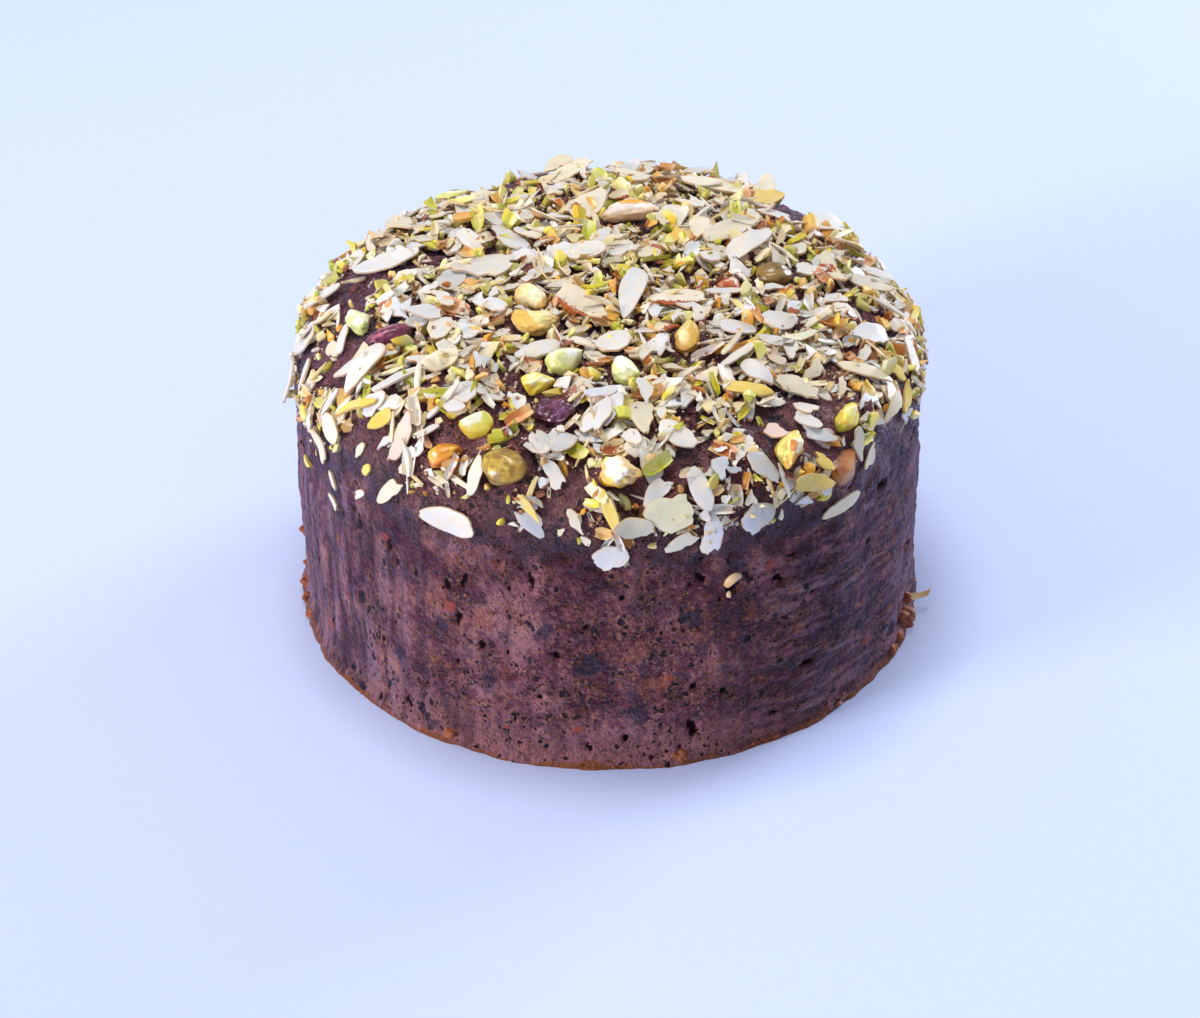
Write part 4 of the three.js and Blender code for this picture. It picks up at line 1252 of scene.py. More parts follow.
class FRUITCAKE_OT_bake_body(bpy.types.Operator):
    """Turn the cake's section, press the paper's folds into it and open its pits"""

    bl_idname = "fruitcake.bake_body"
    bl_label = "Bake the cake"

    def execute(self, context):
        cake = BareCake(context.scene.fruitcake_sizes)
        piece = self.turn(cake)
        self.shape(piece, cake)
        finish_piece(piece, baked_crumb(context.scene.fruitcake_colours), "cake_crumb", SOFT_CREASE)
        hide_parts("cake")
        Bench.pile = Pile(cake)
        return {"FINISHED"}

    def turn(self, cake):
        """The cake's section, drawn from the middle of the top round to the base, and spun."""
        reaches = np.concatenate([
            np.arange(MIDDLE_RING_STEP, MIDDLE_REACH, MIDDLE_RING_STEP),
            np.arange(MIDDLE_REACH, cake.shoulder_length, TOP_RING_STEP),
            np.arange(cake.shoulder_length, cake.foot_reach, WALL_RING_STEP),
            [cake.foot_reach],
        ])
        radius, height, _ = cake.section(reaches)
        base = [(cake.wall_radius(0) * share, 0) for share in (0.97, 0.6, 0)]
        section = [*zip(radius, height), *base]
        piece = start_piece(bpy.ops.mesh.primitive_plane_add, size=1e-3)
        bpy.ops.mesh.merge(type="CENTER")
        bpy.ops.transform.translate(value=(0, 0, cake.top * MM))
        last = (0, cake.top)
        for point in section:
            step = ((point[0] - last[0]) * MM, 0, (point[1] - last[1]) * MM)
            bpy.ops.mesh.extrude_region_move(TRANSFORM_OT_translate={"value": step})
            last = point
        bpy.ops.mesh.select_all(action="SELECT")
        bpy.ops.mesh.spin(steps=RING_STEPS, angle=2 * math.pi, center=(0, 0, 0), axis=(0, 0, 1))
        close_piece(piece)
        piece.name = "fruit_cake_body"
        return piece

    def shape(self, piece, cake):
        """Relief, pits and baked-in fruit, with what the finish needs to know of them."""
        corners = read_corners(piece.data) / MM
        ring = np.hypot(corners[:, 0], corners[:, 1])
        on_base = (corners[:, 2] < 1e-3) & (ring < cake.wall_radius(0) - 0.5)
        reach = np.interp(ring - corners[:, 2], cake.radii - cake.heights, cake.reaches)
        bearing = np.degrees(np.arctan2(corners[:, 0], -corners[:, 1]))
        points, off = cake.surface(bearing, reach)
        off[:, 2] *= smooth(2, 8, points[:, 2])
        relief = cake.relief(bearing, reach)
        top = smooth(-2, 12, cake.shoulder_length - reach + 3 * noise(points, 6, 91))
        pits, pit_shade = self.pits(cake, points, bearing)
        fruit = self.fruit(cake, points, bearing, WALL_RAISINS, 101, 0.85)
        peel_spots = [(where, height, size, 0.8 * size) for where, height, size in WALL_PEEL]
        peel = self.fruit(cake, points, bearing, peel_spots, 211, 0.8)
        shaped = points + off * (relief - pits + 0.25 * fruit + 0.25 * peel)[:, None]
        shaped[:, 2] = np.maximum(shaped[:, 2], 0)
        move_corners(piece, lambda _: np.where(on_base[:, None], corners, shaped) * MM)
        uneven_foot = points[:, 2] + 1.3 * noise(points, 7, 121) + 0.8 * noise(points, 1.6, 122)
        below = reach - cake.shoulder_length + 4 * noise(points, 9, 123)
        band = smooth(-16, -8, below) * smooth(12, 0, below)
        known = {
            "top": top, "pit": pit_shade, "fruit": fruit, "peel": peel,
            "crust": 0.85 * smooth(1.8, 0.3, uneven_foot),
            # painted light bounced from the floor, stronger towards the foot
            "dry": smooth(24, 2, points[:, 2]),
            # painted shade in a band round the shoulder
            "sticky": band * smooth(-0.5, 0.5, noise(points, 3.5, 124)),
            "groove": (1 - top) * smooth(-0.1, 0.6, cake.folds(bearing, points)),
            "level": cake.level_folds(bearing), "upright": cake.upright_folds(bearing),
        }
        for name, values in known.items():
            put_attribute(piece, name, "FLOAT", "value", values)
        put_attribute(piece, "pulled", "FLOAT_VECTOR", "vector", cake.pulled(bearing, points) * MM)

    def pits(self, cake, points, bearing):
        """Depth of the pits that the crumb tore open, and the painted shade inside them."""
        draws = np.random.default_rng(PIT_SEED)
        depth, shade = np.zeros(len(points)), np.zeros(len(points))
        for _ in range(PITS):
            where = draws.uniform(-180, 180)
            height = draws.uniform(1, HIGHEST_PIT)
            size = 0.4 + 0.9 * draws.random() ** 3
            stretch = 1 + 1.8 * draws.random()
            lean = draws.uniform(-0.4, 0.4)
            over, up = self.offsets(cake, points, bearing, where, height)
            near = np.flatnonzero((np.abs(over) < 5) & (np.abs(up) < 6) & (points[:, 2] < 78))
            level = cake.level_folds(where) > 0.5
            long, short = (over[near], up[near]) if level else (up[near], over[near])
            across = (short - lean * long) / size
            along = long / (size * stretch)
            torn = np.hypot(across, along) + 0.5 * noise(points[near], 1.0, 95)
            opened = smooth(1.25, 0.4, torn)
            depth[near] = np.maximum(depth[near], opened * min(DEEPEST_PIT, size + 0.2))
            shade[near] = np.maximum(shade[near], opened)
        return depth, shade

    def offsets(self, cake, points, bearing, where, height):
        """How far points lie round the wall and up from a place on it."""
        return cake.tin * np.radians((bearing - where + 180) % 360 - 180), points[:, 2] - height

    def fruit(self, cake, points, bearing, spots, seed, strength):
        """How strongly baked-in fruit shows at the wall."""
        shown = np.zeros(len(points))
        for number, (where, height, length, width) in enumerate(spots):
            over, up = self.offsets(cake, points, bearing, where, height)
            near = np.flatnonzero((np.abs(over) < length) & (np.abs(up) < length))
            turn = 0.9 * math.sin(7.3 * number)
            along = (over[near] * math.cos(turn) + up[near] * math.sin(turn)) / (length / 2)
            across = (up[near] * math.cos(turn) - over[near] * math.sin(turn)) / (width / 2)
            torn = np.hypot(along, across) + 0.5 * noise(points[near], 1.8, seed + number)
            shown[near] = np.maximum(shown[near], strength * smooth(1.15, 0.5, torn))
        return shown


class FRUITCAKE_OT_set_large(bpy.types.Operator):
    """Press the raisins and the large nuts into the top"""

    bl_idname = "fruitcake.set_large"
    bl_label = "Set the large toppings"

    # finish, slot, then colours: pale middle (also a painted highlight on top), body, edge (also painted
    # shade underneath), patches
    looks = {
        "raisin_dark": ("dark_fruit", "raisin_dark", "#c87488", "#96405a", "#5c2a4a", "#7a3450"),
        "cranberry": ("dark_fruit", "raisin_dark", "#86527a", "#6a3d62", "#45243f", "#8c5474"),
        "raisin_golden": ("pale_fruit", "raisin_golden", "#e4c450", "#cca43a", "#70501f", "#6a5438"),
        "raisin_olive": ("pale_fruit", "raisin_golden", "#a08c50", "#8a7640", "#544428", "#6c5a32"),
        "pistachio_yellow": ("pistachio", "pistachio", "#faf6d8", "#f2de60", "#e4c03c", "#d8d860"),
        "pistachio_pale": ("pistachio", "pistachio", "#f8f8e6", "#eef0c0", "#dce08a", "#e4e6a4"),
        "pistachio_leaf": ("pistachio", "pistachio", "#f4ec98", "#ecdc50", "#ccc43c", "#e49c48"),
        "pistachio_olive": ("pistachio", "pistachio", "#f0eebc", "#d2d684", "#948244", "#7a4a34"),
        "red_kernel": ("toasted", "pistachio", "#e8cdb4", "#cf6a34", "#983c1e", "#aa4826"),
        "cashew": ("toasted", "toasted_nut", "#fdf6ee", "#f8e8d6", "#f0d0a8", "#f2b048"),
        "cashew_gold": ("toasted", "toasted_nut", "#f8ecc0", "#f2dc90", "#e0b054", "#e6bc5c"),
        "peanut_pale": ("toasted", "toasted_nut", "#f8eed0", "#f2e0a8", "#e0b868", "#eacc80"),
        "peanut_gold": ("toasted", "toasted_nut", "#f0e098", "#e6c868", "#c89844", "#d8b04c"),
        "peanut_orange": ("toasted", "toasted_nut", "#fcecb8", "#f4b83c", "#dc7c28", "#ea9a34"),
        "walnut": ("toasted", "toasted_nut", "#fdf8e0", "#f4dc58", "#e0ac38", "#eccc90"),
        "walnut_streaked": ("toasted", "toasted_nut", "#f8f4cc", "#f0e67c", "#e4b850", "#dc8c44"),
        "almond_skin": ("toasted", "almond_skin", "#cc9468", "#b87444", "#8c5230", "#a0603a"),
    }

    def execute(self, context):
        pile = bench_pile()
        for number, (node, topping) in enumerate(LARGE_TOPPINGS.items()):
            form, bearing, reach, heading, length, width, thickness, look = topping
            shape = self.model(form, number)
            local = shape.corners * 2 * (length / 2, width / 2, thickness / 2)
            point, axes = pile.cake.seat(bearing, reach)
            bed = NUT_BED * np.clip((NUT_BED_EDGE - reach) / NUT_BED_SLOPE, 0, 1)
            lift = pile.cake.broad_relief(bearing, reach) + bed + thickness / 2 - POCKET_DEPTH
            corners = point + axes[:, 2] * lift + turned(local, heading) @ axes.T
            material, slot, *colours = self.looks[look]
            heap = Heap()
            tint = self.paint(shape.corners, number, *map(linear, colours))
            heap.add(shape, corners, local, tint, 0.0, 0.0)
            piece = heap.make(f"{node}_piece", nut_materials()[material], slot, SOFT_CREASE)
            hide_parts(node)
            pile.cover(shape, corners, UNDER_LARGE)
        return {"FINISHED"}

    def paint(self, corners, seed, heart_highlight, body, edge, patch):
        """A colour for each corner: pale on its upper side, its own pale flesh and a painted highlight,
        deeper at the edge and, as painted shade, underneath, in patches between.
        """
        out = 2 * np.hypot(corners[:, 0], corners[:, 1])
        up = 2 * corners[:, 2]
        wander = noise(corners + seed, 0.3, 161)
        fine = noise(corners + seed, 0.1, 162)
        tints = np.tile(body, (len(corners), 1))
        for share, tint in (
            # lighter where the corner stands high: a painted highlight over its own pale flesh
            (smooth(0.15, 0.6, 0.5 * up + 0.6 * wander + 0.2 * fine), heart_highlight),
            (smooth(0.12, 0.32, noise(corners - seed, 0.4, 163) + 0.2 * fine), patch),
            # the edge's deeper colour, spread underneath as painted shade
            (smooth(0.6, 1.0, out - 0.3 * up + 0.25 * wander + 0.15 * fine), edge),
        ):
            tints += share[:, None] * (np.array(tint) - tints)
        return tints

    def model(self, form, seed):
        """One large topping, in the form of its node with its fine relief."""
        piece = start_piece(bpy.ops.mesh.primitive_ico_sphere_add, subdivisions=5, radius=1)
        close_piece(piece)
        move_corners(piece, lambda corners: getattr(self, form)(corners, seed))
        return Shape(piece)

    def kernel(self, corners, seed):
        """A nut half: domed above, flat where it split, fuller at one end, cut in places."""
        x, y, z = corners.T
        fuller = 1 + 0.16 * x
        z = np.where(z < -0.45, -0.45 + 0.25 * (z + 0.45), z)
        around = np.arctan2(z, y)
        ridges = 1 + 0.03 * np.cos(7 * around + seed) * (1 - x * x)
        uneven = 1 + 0.2 * noise(corners + seed * 3.7, 0.8, 131) + 0.07 * noise(corners + seed, 0.3, 132)
        size = ridges * (uneven + 0.02 * noise(corners + seed, 0.12, 139))
        whole = np.stack([x * uneven, y * fuller * size, z * fuller * size], axis=-1)
        return self.cut(whole, seed, 4)

    def cut(self, corners, seed, count):
        """Flat faces where a knife went through, each with a trace of its dome."""
        draw = dice(seed * 977 + 11)
        for _ in range(count):
            side = unit(np.array([next(draw) - 0.5, next(draw) - 0.5, 0.9 * next(draw) - 0.2]))
            beyond = np.maximum(corners @ side - 0.55 - 0.3 * next(draw), 0)
            corners = corners - 0.8 * np.outer(beyond, side)
        return corners

    def crumpled(self, corners, seed):
        """A flattened dried berry whose skin stands up in sharp folds."""
        x, y, z = corners.T
        folds = 0.5 - np.abs(noise(corners + seed, 0.55, 164))
        folds -= 0.5 * np.abs(noise(corners + seed, 0.25, 165))
        outline = 1 + 0.25 * noise(corners * (1, 1, 0) + seed, 0.5, 166)
        return np.stack([x * outline, y * outline, z * (0.6 + 0.8 * folds)], axis=-1)

    def crescent(self, corners, seed):
        """A cashew: a thick crescent with a groove along its back."""
        x, y, z = corners.T
        uneven = 1 + 0.18 * noise(corners + seed * 3.1, 0.7, 133)
        uneven += 0.09 * noise(corners + seed, 0.25, 134)
        groove = 1 - 0.12 * np.exp(-((y - 0.1) / 0.12) ** 2) * (z > 0)
        bent = y * 0.75 * uneven + 0.5 * (0.4 - x * x)
        return np.stack([x * uneven, bent, z * uneven * groove * (1 - 0.12 * x)], axis=-1)

    def raisin(self, corners, seed):
        """A dried berry with a few long soft folds."""
        x, y, z = corners.T
        around = np.arctan2(z, y)
        wander = 0.8 * noise(corners + seed, 0.9, 135)
        wide = 0.05 * np.cos(5 * around + 3 * wander) * (1 - x * x)
        fine = 0.015 * np.cos(11 * around + 3 * x + 5 * wander) * (1 - x * x)
        dents = 0.08 * noise(corners + seed * 2, 0.6, 136)
        size = 1 + wide + fine + dents
        return np.stack([x * (1 + dents), y * size, z * size], axis=-1)

    def lump(self, corners, seed):
        """A broken nut with lobes, furrows and cut faces."""
        x, y, z = corners.T
        lobes = 1 + 0.12 * np.sin(4 * x + 2) + 0.1 * np.sin(5 * y + z)
        furrows = 0.26 * np.abs(noise(corners + seed, 0.5, 137)) + 0.08 * noise(corners + seed, 0.2, 138)
        return self.cut(corners * (lobes - furrows)[:, None], seed, 3)


class FRUITCAKE_OT_strew_small(bpy.types.Operator):
    """Strew the chopped nuts, chips, slivers and skins that make the bed"""

    bl_idname = "fruitcake.strew_small"
    bl_label = "Strew the small nuts"

    # name, shape, lengths, width shares, thickness shares (a flake's own where none), finish, slot,
    # tints, share with skin on
    kinds = (
        ("almond_bits", "chopped", (2.0, 4.6), (0.45, 0.9), (0.3, 0.6), "almond", "almond_flake",
         ("#e4dfd4", "#e8dcbe", "#eed8a0", "#e2e0da", "#ecd8ac", "#e6d0b4"), 0.08),
        ("toasted_bits", "chopped", (2.2, 5.8), (0.45, 0.85), (0.35, 0.65), "toasted", "toasted_nut",
         ("#f0b440", "#e49a3c", "#f4cc68", "#ecb484", "#c87840", "#f4dca0", "#f2bc50"), 0.15),
        ("pistachio_bits", "chopped", (2.4, 6.6), (0.4, 0.8), (0.3, 0.6), "pistachio", "pistachio",
         ("#f2cc38", "#dcd04c", "#f2eca8", "#c4c848", "#f6d850", "#ece690", "#f0e8b4"), 0.25),
        ("pistachio_curls", "skin", (3.5, 9.0), (0.25, 0.5), (0.15, 0.3), "pistachio", "pistachio",
         ("#ecdc3c", "#ccd040", "#f4ec98", "#dcc832", "#f6dc54", "#b4bc3c"), 0.2),
        ("toasted_curls", "skin", (3.0, 8.0), (0.35, 0.7), (0.2, 0.4), "toasted", "toasted_nut",
         ("#f2c468", "#eaa850", "#f6dc98", "#e4a684", "#f4d088", "#d08848", "#f0dcc0"), 0.2),
        ("nut_skins", "skin", (2.0, 4.6), (0.45, 0.8), (0.2, 0.4), "skin", "almond_skin",
         ("#8e4a38", "#a85c3c", "#63303a", "#a26a50", "#7d4038", "#8c5a54"), 0.1),
        ("almond_curls", "skin", (3.5, 8.5), (0.25, 0.5), (0.12, 0.28), "almond", "almond_flake",
         ("#e2e3e0", "#e4e2d8", "#e6e0cc", "#dde2e4", "#ecdca8", "#e4d9c8"), 0.04),
        ("almond_chips", "chip", (2.6, 7.4), (0.45, 1.0), None, "almond", "almond_flake",
         ("#e2e2e0", "#e6e1d4", "#e8dcc0", "#dfe2e4", "#ecdca4", "#dde2e6", "#e4d4b8", "#e4e4e2",
          "#e6e3d8"), 0.08),
        ("almond_slivers", "sliver", (4.5, 11.0), (0.11, 0.18), (0.06, 0.11), "almond", "almond_flake",
         ("#e4e0d4", "#e8dcbe", "#e2e0d8", "#ecd690"), 0.06),
    )
    first_share = 0.8
    stay_below = ("almond_bits",)

    def execute(self, context):
        pile = bench_pile()
        amounts = context.scene.fruitcake_toppings
        draws = np.random.default_rng(amounts.seed)
        order = [kind for kind in self.kinds for _ in range(getattr(amounts, kind[0]))]
        mixed = [order[number] for number in draws.permutation(len(order))]
        first = round(self.first_share * len(mixed))
        Bench.heaps = {kind[0]: Heap() for kind in self.kinds}
        Bench.kept_back = [kind for kind in mixed[first:] if kind[0] not in self.stay_below]
        thickness = context.scene.fruitcake_sizes.flake_thickness / MM
        for kind in mixed[:first]:
            drop(pile, kind, draws, thickness, 0.0)
        return {"FINISHED"}


def drop(pile, kind, draws, flake, over_flakes):
    """Drops one small piece on the pile."""
    name, form, lengths, widths, depths, _, _, tints, skin_share = kind
    bearing, reach = draw_spot(pile, draws, over_flakes)
    if bearing is None:
        return
    length = lengths[0] + (lengths[1] - lengths[0]) * draws.random() ** 1.6
    length *= 1 - 0.35 * smooth(*SHORTER, reach)
    width = length * draws.uniform(*widths)
    thick = flake * draws.uniform(0.8, 1.2) if depths is None else length * draws.uniform(*depths)
    shape = shapes(form)[draws.integers(len(shapes(form)))]
    own = shape.corners * (length, width, thick)
    flat = form != "chopped"
    bowed = own + np.outer(own[:, 0] ** 2, (0, 0, FLAT_BOW * draws.normal() if flat else 0.0))
    if flat:
        calm = 1 - 0.7 * smooth(*CALMER, reach)
        tip = calm * (FLAT_TIP * draws.normal() + STANDING_TIP * draws.random() ** 6)
        bank = calm * FLAT_ROLL * draws.normal()
    else:
        tip, bank = 90 * draws.normal(), 90 * draws.normal()
    local = turned(bowed, draws.uniform(-180, 180), tip, bank)
    if flat:
        corners = pile.let_down(local, bearing, reach, 0.1, 0.85, rest=0.1)
    else:
        corners = pile.let_down(local, bearing, reach, 0.3 * min(thick, 1.5), 0.0)
    if pile.hides_large(shape, corners):
        return
    skin = 0.0
    if draws.random() < skin_share:
        skin = smooth(0.0, 0.4, shape.corners @ unit(draws.normal(size=3)))
    first, second = (shade(linear(tints[draws.integers(len(tints))]), draws) for _ in range(2))
    across = shape.corners @ unit(draws.normal(size=3))
    across += 0.3 * noise(shape.corners * 3 + corners[0], 1, 171)
    tint = first + smooth(-0.1, 0.45, across)[:, None] * (second - first)
    Bench.heaps[name].add(shape, corners, own, tint, skin, draws.uniform(0.1, 0.8))
    pile.cover(shape, corners)


def unit(vector):
    return vector / np.linalg.norm(vector)


def shade(colour, draws):
    """A colour made a little lighter, darker or warmer, as no two nuts are alike."""
    light = draws.uniform(0.84, 1.03)
    warmth = draws.uniform(0.0, 0.06)
    return np.clip(np.array(colour) * (light * (1 + warmth), light, light * (1 - 2 * warmth), 1), 0, 1)


def draw_spot(pile, draws, over_flakes):
    """A random place that the nuts cover, or None twice where they don't."""
    for _ in range(MOST_DRAWS):
        reach = THROW_REACH * math.sqrt(draws.random())
        bearing = draws.uniform(-180, 180)
        if pile.is_taken(bearing, reach):
            is_open = draws.random() < over_flakes
        else:
            is_open = not pile.is_full(bearing, reach)
        if is_open and draws.random() < nut_cover(bearing, reach):
            return bearing, reach
    return None, None


class FRUITCAKE_OT_lay_flakes(bpy.types.Operator):
    """Lay the almond flakes over the chopped nuts"""

    bl_idname = "fruitcake.lay_flakes"
    bl_label = "Lay the almond flakes"

    def execute(self, context):
        pile = bench_pile()
        draws = np.random.default_rng(context.scene.fruitcake_toppings.seed + 1)
        thickness = context.scene.fruitcake_sizes.flake_thickness / MM
        heap = Heap()
        for flake in self.scattered(context.scene.fruitcake_toppings.flakes, pile, draws):
            self.lay(pile, heap, flake, thickness, draws, keep_clear=False)
        for flake in self.strewn():
            self.lay(pile, heap, flake, thickness, draws, keep_clear=False)
        for flake in MORE_FLAKES + LAID_FLAKES:
            self.lay(pile, heap, (*flake, None), thickness, draws, keep_clear=True)
        heap.make("almond_flakes", nut_materials()["almond"], "almond_flake", FLAKE_CREASE)
        return {"FINISHED"}

    def scattered(self, count, pile, draws):
        """Flakes thrown at random."""
        for _ in range(count):
            bearing, reach = draw_spot(pile, draws, 0.0)
            if bearing is not None:
                length = 6.5 + 6.5 * draws.random() ** 1.4
                width = length * draws.uniform(0.34, 0.62)
                look = draws.choice(["white", "white", "cream", "white", "grey"])
                yield (bearing, reach, draws.uniform(-180, 180), length, width,
                       9 * draws.normal(), 9 * draws.normal(), look, draws.random())

    def strewn(self):
        """The flakes that the solid carries: spread evenly by the golden angle, each off its mark."""
        draw = dice(STREWN_SEED)
        for i in range(STREWN_FLAKES):
            wander = next(draw) - 0.5
            bearing = (i * GOLDEN_TURN + 14 * (next(draw) - 0.5) + 180) % 360 - 180
            reach = STREWN_REACH * math.sqrt((i + 0.5) / STREWN_FLAKES) + 7 * wander
            heading = 180 * next(draw) - 90
            length = 6 + 6 * next(draw) ** 1.5
            width = 3 + 3 * next(draw)
            tip = 22 * (next(draw) - 0.5)
            bank = 26 * (next(draw) - 0.5)
            snap = 0.35 + 0.65 * next(draw)
            angle = math.radians(bearing)
            edge = NUT_BED_EDGE + 3 * math.sin(4 * angle) + 4 * math.cos(angle)
            if 2 < reach < edge and not is_bare(bearing, reach):
                look = "cream" if i % 4 == 1 else "white"
                yield bearing, reach, heading, length, width, tip, bank, look, snap

    def lay(self, pile, heap, flake, thickness, draws, keep_clear):
        """Lays one flake on what is under it. Short narrow ones are pieces that snapped off."""
        bearing, reach, heading, length, width, tip, bank, look, snap = flake
        is_piece = length < SHORTEST_WHOLE and width < 0.6 * length
        if snap is not None and snap < SNAPPED_SHARE or is_piece:
            kind = "snapped"
        elif width > BROAD_SHARE * length:
            kind = "broad"
        else:
            kind = "whole"
        shape = shapes(kind)[draws.integers(len(shapes(kind)))]
        flat = shape.corners * (length, width, thickness * draws.uniform(0.8, 1.15))
        wave = noise(flat + draws.uniform(-99, 99, 3), 4.5, 141) * 0.35
        edge_wave = noise(flat * (1, 1, 0) + draws.uniform(-99, 99, 3), 1.6, 142) * shape.rim * 0.3
        bow = draws.normal() * 0.014
        local = flat + np.column_stack([edge_wave, edge_wave, wave + bow * flat[:, 0] ** 2])
        local = turned(local, heading, tip, bank)
        corners = pile.let_down(local, bearing, reach, 0.0, 0.9, 0.8, 0.04 if keep_clear else 0.12)
        if not keep_clear and pile.hides_large(shape, corners):
            return
        tint = shade(linear(FLAKE_LOOKS[look]), draws)
        skin = 0.0
        if look == "skin_edge":
            skin = smooth(0.2, 0.42, -shape.corners[:, 1])
        elif look == "skin_spot":
            skin = smooth(0.16, 0.05, np.hypot(shape.corners[:, 0] + 0.2, shape.corners[:, 1] - 0.15))
        heap.add(shape, corners, flat, tint, skin, draws.uniform(0.4, 1.0))
        pile.cover(shape, corners, UNDER_FLAKE if keep_clear else 0)


class FRUITCAKE_OT_sprinkle(bpy.types.Operator):
    """Sprinkle the last chips and crumbs over all"""

    bl_idname = "fruitcake.sprinkle"
    bl_label = "Sprinkle the crumbs"

    tints = (
        "#ece6d8", "#e6d8b8", "#eae8e0", "#e6cc84", "#b88660", "#8a5048", "#70404a", "#a8746c", "#5c3038",
    )

    def execute(self, context):
        pile = bench_pile()
        strew = FRUITCAKE_OT_strew_small
        amounts = context.scene.fruitcake_toppings
        draws = np.random.default_rng(amounts.seed + 2)
        thickness = context.scene.fruitcake_sizes.flake_thickness / MM
        for kind in Bench.kept_back:
            drop(pile, kind, draws, thickness, 0.05)
        for name, _, _, _, _, material, slot, _, _ in strew.kinds:
            Bench.heaps[name].make(name, nut_materials()[material], slot, CUT_CREASE)
        heap = Heap()
        for _ in range(amounts.crumbs):
            bearing, reach = draw_spot(pile, draws, 0.03)
            if bearing is None:
                continue
            size = 0.4 + 1.0 * draws.random() ** 2
            shape = shapes("crumb")[draws.integers(len(shapes("crumb")))]
            local = turned(
                shape.corners * (size, size * draws.uniform(0.5, 1), size * draws.uniform(0.4, 0.9)),
                draws.uniform(-180, 180), draws.uniform(-60, 60), draws.uniform(-60, 60),
            )
            corners = pile.let_down(local, bearing, reach, 0.1, 0.0)
            tint = shade(linear(self.tints[draws.integers(len(self.tints))]), draws)
            heap.add(shape, corners, local, tint)
        for bearing, reach, heading, *size in WALL_NUTS:
            shape = shapes("rounded")[0]
            local = shape.corners * size
            corners = pile.let_down(turned(local, heading), bearing, reach, 0.4, 0.0)
            heap.add(shape, corners, local, linear("#f2c896"))
        heap.make("nut_crumbs", nut_materials()["almond"], "almond_flake", SOFT_CREASE)
        return {"FINISHED"}


class FRUITCAKE_OT_crumble_foot(bpy.types.Operator):
    """Stick torn crumb to the foot of the wall"""

    bl_idname = "fruitcake.crumble_foot"
    bl_label = "Crumble the foot"

    def execute(self, context):
        cake = bench_pile().cake
        draws = np.random.default_rng(context.scene.fruitcake_toppings.seed + 3)
        lump = rough_lump()
        heap = Heap()
        for bearing, height, size in FOOT_LUMPS:
            self.stick(cake, heap, lump, bearing, max(height, 0.45 * size), size, -0.1 * size, draws)
        small = crumb_shape(4)
        for _ in range(SMALL_FOOT_CRUMBS):
            size = 0.5 + 1.1 * draws.random() ** 2
            bearing, height = draws.uniform(-180, 180), 0.3 * size + draws.random() ** 2 * 2.2
            self.stick(cake, heap, small, bearing, height, size, -0.3 * size, draws)
        # torn crumb dried to a crust: dull rusty brown, darker in its wrinkles
        m = dried_fruit("torn_crumb_crust", "#7a3a18", "#5a2814", 0.0, 0.6)
        heap.make("foot_crumbs", m, "cake_crumb", SOFT_CREASE)
        bearing, height, length, width = FOOT_SPLINTER
        splinter = shapes("skin")[0]
        local = splinter.corners * (length, width, 0.35 * width)
        away, along = directions(bearing)
        axes = np.column_stack([unit(away + 0.5 * along + (0, 0, 0.1)), along, (0, 0, 1)])
        centre = away * (cake.wall_radius(height) + 0.3 * length) + (0, 0, height)
        heap = Heap()
        heap.add(splinter, centre + local @ axes.T, local, linear("#ecd08c"))
        heap.make("foot_splinter", nut_materials()["almond"], "almond_flake", CUT_CREASE)
        return {"FINISHED"}

    def stick(self, cake, heap, shape, bearing, height, size, sunk, draws):
        """Presses a crumb into the wall, and keeps it off the floor."""
        centre = (float(cake.wall_radius(height)) + sunk) * directions(bearing)[0] + (0, 0, height)
        local = turned(shape.corners * size, draws.uniform(-180, 180), draws.uniform(-40, 40))
        local = local * (1, 1, CRUMB_SQUASH)
        corners = centre + local
        corners[:, 2] = np.maximum(corners[:, 2], 0)
        heap.add(shape, corners, local, shade(linear("#b4683a"), draws))


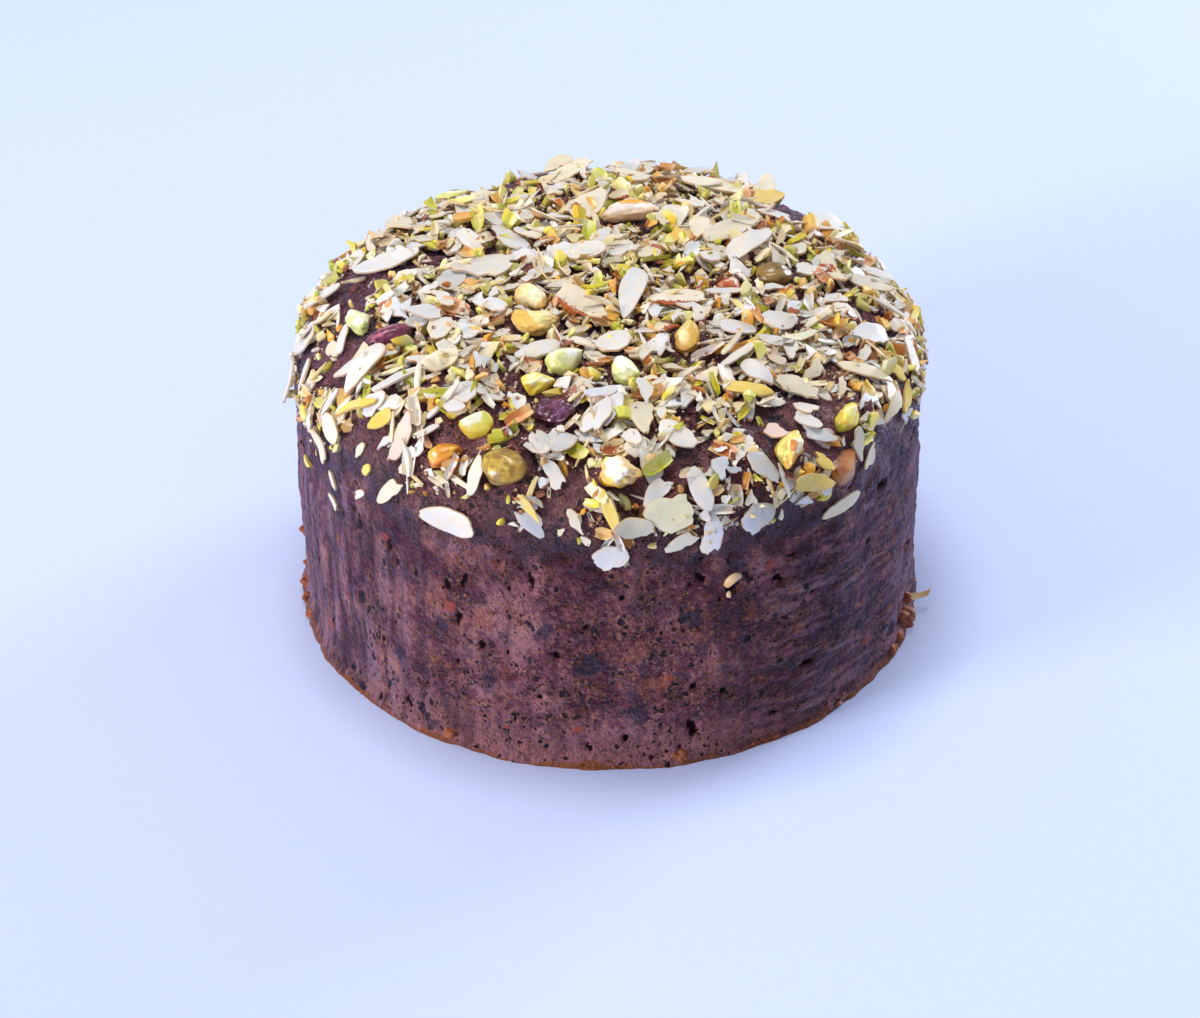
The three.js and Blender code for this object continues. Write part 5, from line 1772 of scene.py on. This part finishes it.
class FRUITCAKE_OT_set_stage(bpy.types.Operator):
    """Set the floor, the lights and the camera"""

    bl_idname = "fruitcake.set_stage"
    bl_label = "Set the stage"

    floor_side = 12
    room_colour = (0.72, 0.79, 1.0, 1)
    room_strength = 0.45
    # name, place, size, power, colour
    soft_boxes = (
        ("soft_box_above", (-0.1, 0.1, 1.5), 0.5, 12, (1.0, 0.985, 0.98)),
        ("soft_box_left", (-1.25, -0.7, 0.4), 0.4, 19.2, (0.9, 0.88, 1.0)),
        ("soft_box_right", (1.1, 1.0, 0.45), 0.6, 19.5, (0.76, 0.8, 1.0)),
    )
    camera_place = (-0.0024, -0.72693, 0.5429)
    look_down = 35.71
    roll = -0.452
    lens = 106.9

    def execute(self, context):
        self.floor(context)
        self.lights(context)
        self.camera(context)
        return {"FINISHED"}

    def floor(self, context):
        piece = start_piece(
            bpy.ops.mesh.primitive_grid_add, x_subdivisions=8, y_subdivisions=8, size=self.floor_side
        )
        bpy.ops.mesh.subdivide(number_cuts=2)
        bpy.ops.object.mode_set(mode="OBJECT")
        piece.name = "floor"
        # matt painted board: even and pale, with a grain that hardly shows
        m = new_material("matt_painted_board")
        where = add_node(m, "TexCoord").outputs["Object"]
        grain = add_node(m, "TexNoise", {"Scale": per(3), "Detail": 2}, {"Vector": where})
        colour = context.scene.fruitcake_colours.floor
        settings = {"data_type": "RGBA", MIX_FIRST: colour, MIX_SECOND: [0.97 * c for c in colour]}
        mixed = add_node(m, "Mix", settings, {MIX_FACTOR: grain})
        bump = add_node(m, "Bump", {"Strength": 0.05, "Distance": 0.2 * MM}, {"Height": grain})
        close_material(m, mixed, bump, {"Roughness": 0.7, "IOR": 1.45})
        piece.data.materials.append(m)

    def lights(self, context):
        world = bpy.data.worlds.new("soft_room")
        context.scene.world = world
        world.use_nodes = True
        background = world.node_tree.nodes["Background"]
        background.inputs["Color"].default_value = self.room_colour
        background.inputs["Strength"].default_value = self.room_strength
        for name, place, size, power, colour in self.soft_boxes:
            light = bpy.data.lights.new(name, "AREA")
            light.shape = "SQUARE"
            light.size = size
            light.energy = power
            light.color = colour
            lamp = bpy.data.objects.new(name, light)
            context.collection.objects.link(lamp)
            lamp.location = place
            direction = -lamp.location
            lamp.rotation_euler = direction.to_track_quat("-Z", "Y").to_euler()

    def camera(self, context):
        data = bpy.data.cameras.new("camera")
        data.lens = self.lens
        data.sensor_width = 36
        camera = bpy.data.objects.new("camera", data)
        context.collection.objects.link(camera)
        tilt = Matrix.Rotation(math.radians(90 - self.look_down), 4, "X")
        roll = Matrix.Rotation(math.radians(self.roll), 4, "Z")
        camera.matrix_world = Matrix.Translation(self.camera_place) @ tilt @ roll
        context.scene.camera = camera
        context.scene.view_settings.view_transform = "Standard"


class FRUITCAKE_PT_steps(bpy.types.Panel):
    """The steps of making the cake, in order"""

    bl_idname = "FRUITCAKE_PT_steps"
    bl_label = "Fruit Cake"
    bl_space_type = "VIEW_3D"
    bl_region_type = "UI"
    bl_category = "Fruit Cake"

    def draw(self, context):
        for step in STEPS:
            self.layout.operator(step.bl_idname)
        for group in (
            context.scene.fruitcake_sizes,
            context.scene.fruitcake_toppings,
            context.scene.fruitcake_colours,
        ):
            box = self.layout.box()
            for setting in group.__annotations__:
                box.prop(group, setting)


STEPS = (
    FRUITCAKE_OT_bake_body,
    FRUITCAKE_OT_set_large,
    FRUITCAKE_OT_strew_small,
    FRUITCAKE_OT_lay_flakes,
    FRUITCAKE_OT_sprinkle,
    FRUITCAKE_OT_crumble_foot,
    FRUITCAKE_OT_set_stage,
)
GROUPS = {
    "fruitcake_sizes": CakeSizes,
    "fruitcake_toppings": CakeToppings,
    "fruitcake_colours": CakeColours,
}


def register():
    for name, group in GROUPS.items():
        bpy.utils.register_class(group)
        setattr(bpy.types.Scene, name, PointerProperty(type=group))
    for step in (*STEPS, FRUITCAKE_PT_steps):
        bpy.utils.register_class(step)


def unregister():
    for step in (*STEPS, FRUITCAKE_PT_steps):
        bpy.utils.unregister_class(step)
    for name, group in GROUPS.items():
        delattr(bpy.types.Scene, name)
        bpy.utils.unregister_class(group)


def main():
    register()
    bpy.ops.fruitcake.bake_body()
    bpy.ops.fruitcake.set_large()
    bpy.ops.fruitcake.strew_small()
    bpy.ops.fruitcake.lay_flakes()
    bpy.ops.fruitcake.sprinkle()
    bpy.ops.fruitcake.crumble_foot()
    bpy.ops.fruitcake.set_stage()


if __name__ == "__main__":
    main()
